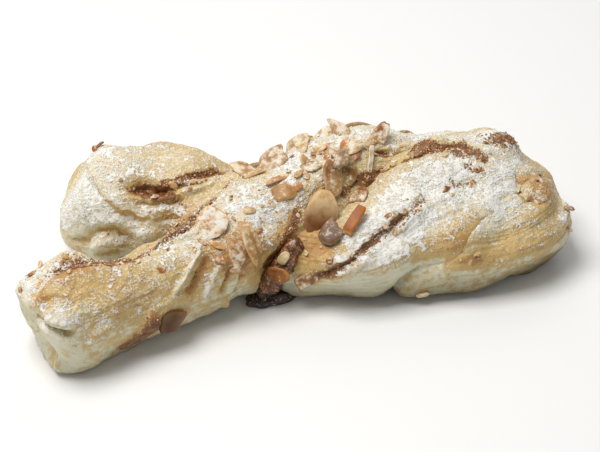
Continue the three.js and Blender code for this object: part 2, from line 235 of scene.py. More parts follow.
def finish(name, fixed):                             # a material, its wire and its shader
    material = bpy.data.materials.new(name)
    material.use_nodes = True
    shader = material.node_tree.nodes["Principled BSDF"]
    for key, value in fixed.items():
        shader.inputs[key].default_value = value
    return material, Wire(material.node_tree), shader


def feed(wire, shader, **links):
    for key, value in links.items():
        wire.tree.links.new(value.socket, shader.inputs[key.replace("_", " ")])


def bumped(wire, height, strength, distance):
    return wire.node("ShaderNodeBump", None,
                     {"Height": height, "Strength": strength, "Distance": distance}, "Normal")


# Camera and light

view = {
    "azimuth": -13, "elevation": 38, "distance": 0.620,  # degrees, degrees, metres
    "target": (0.001, -0.0105, 0.020),
    "lift": 0.0051,                                      # metres the aim is above the target
    "lens": 102.2, "sensor": 36, "clip": 0.01,
}


def addCamera():
    turn, tip = radians(view["azimuth"]), radians(view["elevation"])
    back = Vector((np.sin(turn) * np.cos(tip), -np.cos(turn) * np.cos(tip), np.sin(tip)))
    right = Vector((np.cos(turn), np.sin(turn), 0))
    up = back.cross(right)
    place = Vector(view["target"]) + up * view["lift"] + back * view["distance"]
    camera = bpy.data.objects.new("camera", bpy.data.cameras.new("camera"))
    camera.data.sensor_width = view["sensor"]
    camera.data.lens = view["lens"]
    camera.data.clip_start = view["clip"]
    camera.matrix_world = Matrix.Translation(place) @ Matrix((right, up, back)).transposed().to_4x4()
    scene.collection.objects.link(camera)
    scene.camera = camera


light = {
    "world": (0.97, 0.99, 1.0, 1), "worldPower": 0.32,
    "key": {"place": (-0.27, 0.0, 0.80), "size": 0.45, "power": 6.6, "colour": (1, 0.98, 0.95)},
    "fill": {"place": (-0.70, 0.05, 0.15), "size": 0.40, "power": 0.4, "colour": (1, 0.99, 0.97)},
    "rim": {"place": (0.30, 0.60, 0.60), "size": 0.60, "power": 1.4, "colour": (1, 0.98, 0.95)},
    "floor": {"Base Color": linear(236, 236, 236), "Roughness": 0.8}, "floorReach": 1.5,
}


def addLights():
    world = bpy.data.worlds.new("soft_room")
    world.use_nodes = True
    sky = world.node_tree.nodes["Background"]
    sky.inputs["Color"].default_value = light["world"]
    sky.inputs["Strength"].default_value = light["worldPower"]
    scene.world = world
    for name in ("key", "fill", "rim"):
        made = light[name]
        lamp = bpy.data.lights.new(name, "AREA")
        lamp.size = made["size"]
        lamp.energy = made["power"]
        lamp.color = made["colour"]
        holder = bpy.data.objects.new(name, lamp)
        holder.location = made["place"]
        holder.rotation_euler = Vector(made["place"]).to_track_quat("Z", "Y").to_euler()
        scene.collection.objects.link(holder)


def addFloor():
    reach = light["floorReach"]
    material = finish("pale_floor", light["floor"])[0]
    mesh = bpy.data.meshes.new("floor")
    mesh.from_pydata([(-reach, -reach, 0), (reach, -reach, 0), (reach, reach, 0), (-reach, reach, 0)],
                     [], [(0, 1, 2, 3)])
    mesh.materials.append(material)
    floor = bpy.data.objects.new("floor", mesh)
    scene.collection.objects.link(floor)


scene.view_settings.view_transform = "Standard"
addCamera()
addLights()
addFloor()
print("camera, light and floor set")


# The two strips of dough. Angles in degrees: 0 front, 90 top, 180 back. Places as shares of the length.

dough = {
    "roundness": 2.3, "capReach": 12,                # section shape, and mm over which an end rounds off
    "unroll": 17,                                    # mm, radius that turns an angle into a distance
    "crowd": 0.3,                                    # how much closer the mesh points lie on top
    "foldHalf": 1.2, "foldDepth": 1.8, "lipRise": 0.7, "lipOff": 2.6, "lipHalf": 1.5,   # mm
    "farLip": 0.6, "lipGold": 0.15,                  # the farther lip's share, and the lips' extra baking
    "foldBrown": 0.95, "brownHalf": 1.5,             # stain in the fold, and mm that it reaches
    "fadeIn": (-0.01, 0.12), "fadeOut": (0.8, 1.0),  # shares of a line over which it begins and ends
    "wander": 1.0, "wanderStep": 8,                  # mm, how the fold strays
    "gapeChange": 0.8, "gapeStep": 4.5,
    "wobble": [(4.5, 0.5), (1.7, 0.28)],             # size and reach of the raggedness of lines, mm
    "lumpHeight": 0.45,
    "lumpWaves": [(7, 2, 0.3), (11, -3, 1.9), (4, 5, 4.1)],  # along, around, start
    "puffs": [(13, 0.6), (6, 0.35), (2.6, 0.24)],    # size and height of the swellings, mm
    "blisterSize": 5.5, "blisterHeight": 0.4, "blisterGold": 0.25,
    # thin layers lifting off, edges of the laminated layers, and the grain; sizes in mm
    "peelLong": 24, "peelFine": 6.5, "peelSteps": 2.2, "peelHeight": 0.32, "peelGold": 0.18,
    "layerLong": 18, "layerFine": 1.2, "layerHeight": 0.16, "layerStart": (10, 30), "onTop": 0.6,
    "grainSize": 1.5, "grainHeight": 0.18,
    "mergeRise": 4.2, "mergeReach": 5.5,             # mm, where the strips have baked together
    "sideGold": 0.32, "topGold": 0.38,               # baking of the sides, and how much more on top
    "paintedShadeBand": (1, 17), "paintedShadeFrom": (-50, 40), "paintedShadeLeast": 0.3,   # painted shade at the foot: mm up and along where it is painted darker, and its least share on the left
    "fibreStart": (8, 30), "ground": 0.02,           # mm from the ends, and mm above the table
    "samples": 4000,                                 # points by which a strip's length is measured
    "seeds": {"stray": 5, "gape": 9, "ragged": 71, "puffs": 21, "blisters": 3, "peel": 33, "layers": 31,
              "grain": 41},
}

frontStrip = {
    "name": "strip_front", "along": 470, "around": 208,
    # along, across, up, half width, half height
    "stations": [
        (-102, -34.5, 16, 15, 16), (-85, -29.5, 16, 18.5, 18), (-53, -18, 16, 16, 17),
        (-14, -2.5, 20, 18.5, 18.5), (23, 11.5, 24, 18, 20), (56, 12.5, 21, 17, 20),
        (80, 2.5, 19, 16, 18), (87, -15.5, 15, 15, 15.5), (67, -23.5, 12, 15, 14), (35, -18.5, 10, 12, 11),
    ],
    # the open fold: place, angle, gape
    "fold": [
        (0, 84, 0), (0.03, 92, 0.15), (0.06, 96, 0.6), (0.1, 93, 0.8), (0.12, 89, 0.9), (0.135, 88, 1),
        (0.15, 88, 0.9), (0.173, 95, 0.9), (0.201, 97, 0.8), (0.216, 95, 0.8), (0.229, 92, 0.8),
        (0.248, 92, 0.8), (0.28, 101, 0.8), (0.31, 108, 0.7), (0.34, 112, 0.3), (0.38, 108, 0),
        (0.44, 100, 0), (0.5, 80, 0.2), (0.54, 68, 0.6), (0.575, 62, 0.8), (0.6, 74, 1), (0.64, 82, 1),
        (0.68, 78, 0.7), (0.72, 70, 0.3), (0.76, 64, 0), (1, 60, 0),
    ],
    # larger swellings and hollows: middle, reach, move
    "pulls": [
        ((-103, -37, 14), 9, (8, 0, 0)), ((-93, -41, 2), 12, (-2, -1.5, 0)),
        ((-101, -27, 25), 12, (-3, 0.5, 1.5)), ((-83, -17, 30), 9, (0, 1, 3)),
        ((-70, -12, 29), 8, (0, 0, -7)), ((-60, -9, 30), 8, (0, 0, -7)),
        ((-49, -4, 31), 8, (0, 0, -6)), ((-72, -47, 3), 14, (0, 2.5, 0)), ((-7, -21, 17), 8, (-3, 5, 0)),
        ((-25, 10, 37), 10, (0, 2, 5)), ((59, 18, 40), 12, (0, 0, -5)), ((98, -7, 33), 13, (-4, 0, -6)),
        ((103, -13, 15), 9, (1.5, 0, 0)), ((98, -29, 3), 10, (-2, 2, 0)), ((40, -29, 6), 11, (-6, -0.8, 0)),
        ((-101.5, -30, 19), 5.5, (5, 0, 0)), ((99, -22, 8), 10, (1.8, -0.6, 0)),
        ((-99, -34, 8), 8, (4, 0, 0)), ((89, -32, 3), 9, (0, 2, 0)), ((74, -37, 3), 13, (0, 5.5, 2)),
    ],
    "merge": [(0.7, 0), (0.75, 1), (0.9, 1), (0.94, 0)],     # place, share
    # lines on the crust: points (place, angle), half width, height, ledge reach, gold, brown, sugar
    "lines": [
        ([(0.004, 95), (0.009, 76), (0.013, 55), (0.018, 38), (0.026, 29), (0.036, 25), (0.05, 24)],
         1.5, -4.0, 0, 0.2, 0.05, -0.1),
        ([(0.004, 95), (0.009, 76), (0.013, 57), (0.018, 41), (0.026, 32), (0.036, 28), (0.05, 27)],
         0.9, 1.8, 6, -0.1, 0, 0.05),
        ([(0.13, 83), (0.1, 85), (0.08, 86), (0.063, 87), (0.046, 87), (0.034, 83), (0.028, 77),
          (0.027, 70)], 0.9, 1.5, 7, 0.5, 0.05, -0.25),
        ([(0.098, -27), (0.112, -25), (0.127, -20), (0.139, -7), (0.152, -1), (0.163, 2)],
         2.8, 1.7, 0, 0.9, 1.1, -0.6),
        ([(0.104, -33), (0.12, -31), (0.135, -25), (0.148, -14), (0.16, -8)], 2.2, 0.4, 0, 0.6, 1.2, -0.8),
        ([(0.084, 101), (0.095, 96), (0.105, 94), (0.116, 89), (0.133, 90), (0.159, 94), (0.184, 90),
          (0.21, 97), (0.224, 90), (0.246, 88), (0.269, 98)], 3.2, 0, 0, 0.2, 0.5, 0.2),
        ([(0.09, 114), (0.13, 107), (0.17, 107), (0.21, 110), (0.26, 118)], 5.5, -1, 0, 0, 0.1, 0),
        ([(0.252, 63), (0.231, 50), (0.214, 38), (0.195, 26), (0.178, 15)], 0.9, 1.6, 0, -0.1, 0, 0.5),
        # painted shade: this groove's gold and brown darken the crease where shade falls, beside real stain
        ([(0.25, 46), (0.229, 29), (0.216, 17), (0.199, 7)], 1.7, -1.7, 0, 0.9, 0.4, -0.4),
        ([(0.263, 31), (0.248, 19), (0.233, 3), (0.22, -7)], 1.1, 1.5, 0, -0.2, 0, 0.6),
        # painted shade: these two grooves' gold and brown darken the creases where shade falls, beside real
        # stain
        ([(0.273, 19), (0.263, 5), (0.248, -7)], 1.2, -1.5, 0, 0.8, 0.4, -0.3),
        ([(0.285, 8), (0.278, -4), (0.272, -16)], 0.9, -1.2, 0, 0.6, 0.3, -0.1),
        ([(0.45, 32), (0.48, 38), (0.51, 42), (0.556, 44)], 1.9, -0.3, 0, 0, 0.8, 0),
        ([(0.49, 37), (0.505, 35), (0.524, 32), (0.54, 30), (0.55, 29)], 2.2, -0.3, 0, 0.1, 1, -0.3),
        ([(0.555, 42), (0.575, 56), (0.595, 73), (0.618, 78), (0.657, 85)], 2.0, -0.6, 0, 0.1, 0.85, 0),
        ([(0.392, 46), (0.386, 40), (0.369, 27), (0.356, 19), (0.344, 8), (0.324, 1), (0.316, -14)],
         1.8, 0.4, 0, 0.3, 0.9, -0.2),
        ([(0.798, 88), (0.801, 98), (0.797, 112)], 1.2, -1.0, 0, 0.3, 0.2, 0),
        ([(0.92, 128), (0.903, 114), (0.893, 104), (0.88, 94), (0.867, 85), (0.854, 80), (0.837, 77),
          (0.82, 75), (0.8, 74)], 5.5, 2.2, 0, 0, 0, 0.12),
    ],
    # patches: place, angle, half length, half width, height, gold, brown, sugar
    "patches": [
        (0.012, -25, 9, 9, -4, -0.2, 0, 0),
        (0.0, 40, 9, 25, 0, -0.2, 0, 0.25),
        (0.004, 190, 10, 26, 0, -0.2, 0, 0.35),
        (0.01, -83, 10, 14, 0, -0.1, 0, 0.3),
        (0.035, 40, 9, 4.5, 0, -0.4, 0, 0.2),
        (0.03, -5, 16, 12, 0, -0.1, 0, 0.25),
        (0.03, 108, 10, 6, 0, 0, 0.12, 0.4),
        (0.085, 101, 13, 4.5, 0, 0.1, 0.36, 0.15),
        (0.25, 108, 9, 6, 0, 0.5, 0.42, 0.05),
        (0.03, 73, 2.6, 2.2, 0.6, 0.6, 0.3, -0.2),
        (0.06, 74, 14, 8, 0.4, 0.25, 0, -0.05),
        (0.1, 45, 22, 11, 0, 0.15, 0, 0.03),
        (0.14, 30, 14, 10, 0, 0.2, 0, 0.03),
        (0.09, 3, 12, 7, 0, 0.15, 0, 0.08),
        (0.146, 85, 5, 1.8, -0.6, 0.2, 0.9, -0.15),
        (0.235, 75, 9, 5, 0, 0, 0.05, 0.25),
        (0.21, 68, 8, 6, 0, 0.1, 0.1, 0.12),
        (0.3, 85, 10, 7, 0, 0.35, 0.18, 0.28),
        (0.34, 84, 10, 8, 0, 0.35, 0.18, 0.28),
        (0.35, 55, 9, 6, 0, 0.35, 0.1, 0.45),
        (0.385, 66, 7, 6, 0, 0.35, 0.22, 0.25),
        (0.425, 100, 8, 6, 0, 0.2, 0.1, 0.42),
        (0.43, 80, 10, 6, 0, 0.3, 0.2, 0.28),
        (0.37, 40, 5, 7, 0, 0.6, 0.15, -0.2),
        (0.475, 106, 11, 7, 1.8, 0.1, 0.1, 0.2),
        (0.51, 92, 9, 7, 0, 0.1, 0.15, 0.15),
        (0.268, -4, 8, 5, 0, -0.5, 0, -0.1),
        (0.31, 10, 8, 9, 0, 0.5, 0.08, 0),
        (0.265, 38, 9, 9, 0, 0.6, 0.2, 0),
        (0.288, 28, 7, 8, 0, 0.6, 0.12, -0.1),
        (0.255, -22, 2, 2.2, 2.2, 0.2, 0.2, 0),
        (0.55, 96, 24, 7, 0, 0.05, 0, 0.3),
        (0.63, 95, 12, 5, 0, 0, 0, 0.3),
        (0.62, 126, 16, 8, 0, -0.15, 0, 0.35),
        (0.595, 74, 5, 3, -0.5, 0, 0.8, 0),
        (0.64, 81, 6, 2.5, -0.5, 0, 0.8, 0),
        (0.7, 90, 12, 8, 0, 0, 0, 0.5),
        (0.782, 100, 6, 5, 1.8, 0.7, 0.08, -0.12),
        (0.79, 148, 3, 2.8, 2.2, 0.1, 0.35, 0.3),
        (0.82, 140, 16, 14, 0, 0.06, 0, 0),
        (0.87, 155, 18, 14, 0, 0.05, 0, 0),
        (0.93, 160, 14, 10, 0, 0.05, 0, 0),
        (0.86, 168, 22, 12, 0, 0.1, 0, 0),
        (0.84, 80, 14, 8, 0, 0, 0, 0.4),
        (0.88, 92, 10, 7, 0, 0, 0, 0.3),
        (0.885, 114, 12, 8, 0, -0.12, 0, -0.25),
        (0.92, 104, 8, 5, 0, 0, 0, 0.35),
        (0.945, 125, 10, 7, -3, 0, 0, 0),
        (0.965, 165, 16, 10, 0, -0.42, 0, -0.2),
        (0.897, 142, 1.3, 1.3, 1.2, 0.2, 0.9, 0),
        (0.905, 150, 5, 3, 0, 0.7, 0.1, -0.1),
    ],
}

backStrip = {
    "name": "strip_back", "along": 400, "around": 230,
    "stations": [
        (-82, 27.5, 17, 16, 17), (-67, 27.5, 19, 21, 22), (-39, 21.5, 19, 20, 21), (-11, 3.5, 14, 17, 16),
        (13, -14.5, 14, 17, 15.5), (36, -10.5, 19.5, 19, 17.5), (60, -2.5, 24, 19, 17),
        (81, 1.5, 25, 17, 16.5), (95, -6, 19.5, 14.5, 14.5),
    ],
    "fold": [
        (0, 52, 0), (0.1, 52, 0), (0.14, 51, 0.5), (0.17, 49, 1), (0.2, 48, 1), (0.225, 51, 0.8),
        (0.24, 59, 0.6), (0.256, 72, 0.6), (0.275, 86, 0.6), (0.29, 98, 0.5), (0.32, 112, 0.3),
        (0.36, 90, 0), (0.44, 10, 0), (0.5, -10, 0.2), (0.516, -4, 0.4), (0.531, 8, 0.5), (0.546, 16, 0.6),
        (0.559, 24, 0.6), (0.571, 31, 0.7), (0.594, 44, 0.8), (0.624, 53, 0.9), (0.654, 55, 0.9),
        (0.676, 54, 0.8), (0.696, 57, 0.8), (0.719, 62, 0.4), (0.735, 64, 0), (0.8, 80, 0), (1, 92, 0),
    ],
    "pulls": [
        ((-81, 36, 36), 13, (6, 0, -7)), ((-82, 20, 9), 12, (-3, -4, 0)), ((8, -31, 3), 12, (0, 4, 0)),
        ((31, -30, 3), 12, (0, -4, 0)), ((76, 6, 42), 12, (0, 0, -3)), ((89, 6, 40), 7, (0, 0, -5)),
        ((96, 0, 35), 13, (-4, 0, -7)), ((36, -32, 6), 9, (-1, 4, 2)), ((82.5, 5, 43), 6, (1, 0, 5)),
        ((75, 14, 42), 9, (0, 0, -2)), ((85.5, 3, 43), 5.5, (1.5, 0, 5.5)),
        ((90, 7, 36), 7.5, (-1.5, 0, -6.5)), ((-48, 33, 41), 12, (0, 0, -2)),
    ],
    "merge": [(0.66, 0), (0.72, 1), (0.9, 1), (0.95, 0.3), (1, 0.3)],
    "lines": [
        ([(0.01, -12), (0.029, -3), (0.059, 7), (0.083, 9), (0.105, 7), (0.124, 2), (0.159, 0)],
         1.4, -2.2, 0, 0.5, 0.04, -0.2),
        ([(0.045, -12), (0.06, -4), (0.083, -1), (0.105, -4), (0.13, -9)], 1.1, 1.2, 0, -0.1, 0, 0.1),
        ([(0.05, -17), (0.083, -10), (0.12, -14)], 1.3, -0.7, 0, 0.1, 0, 0),
        ([(0.058, 95), (0.062, 86), (0.07, 71), (0.084, 57), (0.101, 40), (0.124, 27), (0.164, 18),
          (0.201, 15), (0.24, 20)], 1.4, 1.6, 8, 0.1, 0, 0),
        ([(0.062, 86), (0.07, 71), (0.084, 57), (0.101, 40), (0.124, 27), (0.164, 18), (0.201, 15)],
         1.3, 0.3, 0, 0.45, 0.03, -0.15),
        ([(0.066, 72), (0.079, 53), (0.096, 36), (0.12, 22), (0.164, 13), (0.2, 10)],
         1.8, -0.4, 0, 0.15, 0, 0),
        ([(0.07, 45), (0.092, 30), (0.12, 17), (0.16, 9), (0.2, 7)], 3.6, 0.5, 0, -0.3, 0, 0.4),
        ([(0.1, 104), (0.125, 95), (0.15, 98), (0.185, 88)], 0.8, 0.9, 4, 0.2, 0, 0.05),
        ([(0.13, 122), (0.155, 114), (0.185, 118), (0.21, 110)], 0.8, 0.9, 4, 0.2, 0, 0.05),
        ([(0.07, 90), (0.1, 80), (0.125, 70)], 0.8, 0.8, 4, 0.2, 0, 0.05),
        ([(0.14, 43), (0.184, 39), (0.226, 43), (0.256, 56), (0.281, 71), (0.297, 87)],
         1.0, 1.3, 0, -0.1, 0, 0.1),
        ([(0.15, 36), (0.184, 33), (0.226, 36), (0.258, 48)], 0.8, -0.8, 0, 0.35, 0.06, -0.1),
        ([(0.16, 28), (0.19, 25), (0.23, 28)], 0.8, 0.7, 0, 0, 0, 0.1),
        ([(0.2, 57), (0.209, 59), (0.229, 63), (0.241, 70), (0.256, 78), (0.269, 87), (0.279, 98),
          (0.29, 108)], 1.0, -0.9, 0, 0.1, 0.85, -0.1),
        ([(0.225, 60), (0.245, 66), (0.262, 77)], 0.8, 0.7, 0, 0, 0, 0.2),
        ([(0.228, 57), (0.249, 62), (0.266, 70), (0.28, 80)], 0.7, -0.6, 0, 0.1, 0.75, 0),
        ([(0.516, -5), (0.531, 8), (0.546, 16), (0.559, 24), (0.571, 30), (0.594, 43), (0.624, 51),
          (0.654, 53), (0.676, 53), (0.696, 56), (0.719, 62), (0.74, 66)], 2.6, 0, 0, 0.2, 0.6, 0),
        ([(0.696, 114), (0.711, 113), (0.729, 110), (0.751, 108), (0.769, 103), (0.784, 103), (0.8, 103)],
         1.6, -0.7, 0, 0.1, 1, -0.25),
        ([(0.76, 121), (0.772, 119), (0.783, 117), (0.8, 114), (0.81, 112)], 2.6, -0.5, 0, 0, 1, -0.2),
        ([(0.785, 104), (0.796, 103), (0.811, 100), (0.825, 100), (0.842, 95), (0.856, 91)],
         1.9, -0.6, 0, 0, 1, -0.25),
        ([(0.815, 95), (0.822, 92), (0.829, 90), (0.844, 85), (0.854, 77), (0.861, 69), (0.868, 62)],
         2.0, -0.6, 0, 0, 1, -0.2),
        ([(0.824, 80), (0.83, 69), (0.836, 63), (0.845, 59), (0.855, 57)], 1.6, -0.5, 0, 0.2, 0.9, -0.15),
        ([(0.76, 56), (0.775, 59), (0.79, 59), (0.809, 56), (0.825, 54)], 1.4, -0.4, 0, 0, 0.8, -0.1),
        ([(0.782, 70), (0.788, 62), (0.796, 52)], 1.1, -0.3, 0, 0, 0.7, -0.1),
    ],
    "patches": [
        (0.03, 98, 12, 14, -1, -0.1, 0, 0.15),
        (0.13, 90, 26, 13, 0, 0.1, 0.02, 0.2),
        (0.15, 45, 14, 8, -1.2, 0, 0, 0.1),
        (0.035, 55, 12, 12, 0, -0.5, 0, 0.45),
        (0.065, 32, 9, 6, 0, -0.4, 0, 0.45),
        (0.03, 15, 8, 8, 0, -0.4, 0, 0.25),
        (0.172, 49, 6, 3, -2.2, 0, 0.8, -0.8),
        (0.203, 47, 8, 2.2, -2.2, 0, 1, -0.8),
        (0.1, -4, 14, 6, 0, 0.05, 0, 0.3),
        (0.24, 20, 9, 8, 0, 0.1, 0.48, 0.3),
        (0.2, 9, 10, 7, 0, -0.15, 0.05, 0.2),
        (0.68, 4, 14, 6, 2.0, 0, 0, 0),
        (0.72, 6, 9, 5, 2.2, 0.3, 0, 0),
        (0.755, 11, 9, 5, 2.4, 0.3, 0, 0),
        (0.79, 16, 9, 6, 1.6, 0, 0, 0),
        (0.752, 18, 13, 8, 0, -0.12, 0, -0.25),
        (0.56, 30, 7, 6, 0, 0, 0, 0.5),
        (0.6, 62, 9, 6, 0, 0, 0, 0.4),
        (0.66, 68, 12, 6, 0, 0, 0, 0.4),
        (0.73, 78, 14, 7, 0, 0, 0, 0.45),
        (0.8, 72, 10, 8, 0, 0, 0, 0.35),
        (0.585, 22, 7, 5, 0, 0, 0, 0.45),
        (0.62, 34, 10, 5, 0, 0, 0, 0.4),
        (0.68, 40, 12, 7, 0, 0, 0, 0.4),
        (0.75, 38, 14, 8, 0, 0, 0, 0.35),
        (0.83, 32, 12, 9, 0, 0, 0, 0.35),
        (0.88, 42, 10, 9, 0, 0, 0, 0.35),
        (0.93, 80, 9, 12, 0, 0, 0, 0.35),
        (0.9, 104, 7, 7, 0, -0.2, 0, 0.45),
        (0.905, 92, 3.4, 3, 2.4, 0.1, 1, -0.5),
        (0.86, 112, 9, 5, 0, -0.2, 0, 0.35),
        (0.955, 48, 5, 5, 1.2, 0.6, 0.1, -0.4),
        (0.57, -12, 16, 6, 0, -0.4, 0, -0.2),
        # painted shade: the gold and brown of these two patches darken the crust in the recess under the
        # big almond slice, where shade falls
        (0.508, 55, 6, 6, 0, 0.8, 0.4, -0.9),
        (0.532, 40, 9, 9, 0, 0.25, 0.02, -0.6),
        (0.615, -22, 8, 5, 0, -0.2, 0, 0),
    ],
}


class Strip:
    def __init__(self, shape):
        self.shape = shape
        self.rows = np.array(shape["stations"], float)
        self.fold = np.array(shape["fold"], float).T
        self.numbers = np.linspace(0, len(self.rows) - 1, dough["samples"])
        steps = np.linalg.norm(np.diff(through(self.rows, self.numbers)[:, :3], axis=0), axis=1)
        run = np.concatenate([[0], np.cumsum(steps)])
        self.length = run[-1]
        self.shares = run / run[-1]

    def number(self, at):                            # station number at a share of the length
        return np.interp(at, self.shares, self.numbers)

    def tangent(self, at):
        t = self.number(np.clip(at, 0, 1))
        small = 1e-3
        return unit(through(self.rows, t + small)[..., :3] - through(self.rows, t - small)[..., :3])

    def section(self, at):
        row = through(self.rows, self.number(at))
        tangent = self.tangent(at)
        side = unit(np.cross(tangent, (0, 0, 1)))
        fromEnd = np.minimum(at, 1 - at) * self.length
        cap = np.sqrt(1 - (1 - np.minimum(fromEnd / dough["capReach"], 1)) ** 2)
        reach = 5                                    # mm, over which the turn is measured
        turn = self.tangent(at + reach / self.length) - self.tangent(at - reach / self.length)
        return {
            "middle": row[..., :3], "tangent": tangent, "side": side, "up": np.cross(side, tangent),
            "cap": cap, "wide": row[..., 3] * cap, "tall": row[..., 4] * cap,
            "bend": (turn * side).sum(axis=-1) / (2 * reach),
        }

    def flow(self, at, around):                      # the crust rolled out flat, in mm
        along, across = np.broadcast_arrays(at * self.length, np.radians(around) * dough["unroll"])
        return np.stack([along, across, np.zeros_like(along)], axis=-1)

    def foldAngle(self, at):                         # degrees, with the fold's straying
        step, seed = dough["wanderStep"], dough["seeds"]["stray"]
        stray = dough["wander"] * mottle(self.flow(at, 0 * at), step, seed)
        return np.interp(at, self.fold[0], self.fold[1]) + np.degrees(stray / dough["unroll"])

    def patch(self, at, around, place, angle, long, wide):
        across = np.radians(angleBetween(around, angle)) * dough["unroll"]
        return bell(np.hypot((at - place) * self.length / long, across / wide))

    def fromLine(self, at, around, points):          # signed mm from a line, and share along it
        middle = np.mean([angle for place, angle in points])
        along, across = np.broadcast_arrays(at * self.length,
                                            np.radians(angleBetween(around, middle)) * dough["unroll"])
        knots = [(place * self.length, np.radians(angle - middle) * dough["unroll"])
                 for place, angle in points]
        near = np.full(along.shape, 1e9)
        signed = np.zeros(along.shape)
        share = np.zeros(along.shape)
        for index, (start, end) in enumerate(zip(knots[:-1], knots[1:])):
            run = np.subtract(end, start)
            part = ((along - start[0]) * run[0] + (across - start[1]) * run[1]) / (run @ run)
            held = np.clip(part, 0, 1)
            offAlong = along - start[0] - held * run[0]
            offAcross = across - start[1] - held * run[1]
            distance = np.hypot(offAlong, offAcross)
            closer = distance < near
            near = np.where(closer, distance, near)
            sided = distance * np.sign(run[0] * offAcross - run[1] * offAlong)
            signed = np.where(closer, sided, signed)
            share = np.where(closer, (index + held) / (len(knots) - 1), share)
        return signed, share

    def plainSurface(self, at, around):              # crust points without fold, lines or patches
        section = self.section(at[:, 0])
        turn = np.radians(around)
        power = 2 / dough["roundness"]
        flat = squared(np.cos(turn), power) * section["wide"][:, None]
        rise = squared(np.sin(turn), power) * section["tall"][:, None]
        radius = np.maximum(np.hypot(flat, rise), 0.01)
        lump = sum(dough["lumpHeight"] * np.sin(2 * np.pi * along * at + across * turn + start)
                   for along, across, start in dough["lumpWaves"])
        scale = 1 + lump * section["cap"][:, None] / radius
        inward = np.maximum(flat * scale * section["bend"][:, None], 0)
        across = flat * scale / np.cbrt(1 + inward ** 3)
        points = (section["middle"][:, None] + section["side"][:, None] * across[..., None]
                  + section["up"][:, None] * (rise * scale)[..., None])
        return points + sum(bell(np.linalg.norm(points - middle, axis=-1, keepdims=True) / reach) * move
                            for middle, reach, move in self.shape["pulls"])

    def build(self):                                 # larger forms, with their baking, filling and sugar
        shape, seeds = self.shape, dough["seeds"]
        tiny = 0.3 / self.length                     # the end rings lie 0.3 mm in
        at = np.linspace(tiny, 1 - tiny, shape["along"])[:, None]
        share = np.arange(shape["around"]) / shape["around"]
        around = (-90 + 360 * (share + dough["crowd"] * np.sin(2 * np.pi * share) / (2 * np.pi)))[None, :]
        self.at, self.around = at, around
        self.flowed = self.flow(at, around)
        self.cap = self.section(at[:, 0])["cap"][:, None]
        points = self.plainSurface(at, around)
        ragged = sum(reach * mottle(self.flowed, size, seeds["ragged"]) for size, reach in dough["wobble"])

        change = dough["gapeChange"] * mottle(self.flow(at, 0 * at), dough["gapeStep"], seeds["gape"])
        gape = np.interp(at, self.fold[0], self.fold[2]) * np.clip(1 + change, 0, 2)
        fromFold = np.radians(angleBetween(around, self.foldAngle(at[:, 0])[:, None]))
        off = fromFold * dough["unroll"] + ragged
        lips = bell((off + dough["lipOff"]) / dough["lipHalf"])
        lips = lips + dough["farLip"] * bell((off - dough["lipOff"]) / dough["lipHalf"])
        height = gape * (dough["lipRise"] * lips - dough["foldDepth"] * bell(off / dough["foldHalf"]))
        gold = dough["lipGold"] * gape * lips
        brown = dough["foldBrown"] * gape * bell(off / dough["brownHalf"])
        sugar = np.zeros(off.shape)
        for line, width, rise, ledge, lineGold, lineBrown, lineSugar in shape["lines"]:
            signed, run = self.fromLine(at, around, line)
            signed = signed + ragged * min(1, width)
            fade = smooth(run, *dough["fadeIn"]) * (1 - smooth(run, *dough["fadeOut"]))
            near = bell(signed / width) * fade
            step = near
            if ledge:
                step = smooth(signed, -width, width) * np.exp(-np.maximum(signed, 0) / ledge) * fade
            height += rise * step
            gold += lineGold * near
            brown += lineBrown * near
            sugar += lineSugar * near
        for place, angle, long, wide, rise, patchGold, patchBrown, patchSugar in shape["patches"]:
            near = self.patch(at, around, place, angle, long, wide)
            height += rise * near
            gold += patchGold * near
            brown += patchBrown * near
            sugar += patchSugar * near
        for size, rise in dough["puffs"]:
            height += rise * mottle(points, size, seeds["puffs"])
        swell = blisters(points, dough["blisterSize"], seeds["blisters"])
        height += dough["blisterHeight"] * (swell - 0.5)
        gold += dough["blisterGold"] * (swell - 0.45)
        self.points = points + gridNormals(points) * (height * self.cap)[..., None]
        self.marks = {"gold": gold, "brown": np.clip(brown, 0, 1), "sugar": sugar}

    def soften(self, other):                         # swells where it has baked together with the other
        weight = np.interp(self.at[:, 0], *zip(*self.shape["merge"]))
        normals = gridNormals(self.points)
        reach = dough["mergeReach"]
        rise = np.zeros(self.points.shape[:2])
        for row in np.nonzero(weight > 0.01)[0]:
            for column, point in enumerate(self.points[row].tolist()):
                spot, out, index, gap = other.find_nearest(point, 2.5 * reach)
                if spot is not None:
                    outside = max((Vector(point) - spot).dot(out), 0)
                    rise[row, column] = weight[row] * np.exp(-(outside / reach) ** 2)
        self.points = self.points + normals * (dough["mergeRise"] * rise * self.cap)[..., None]

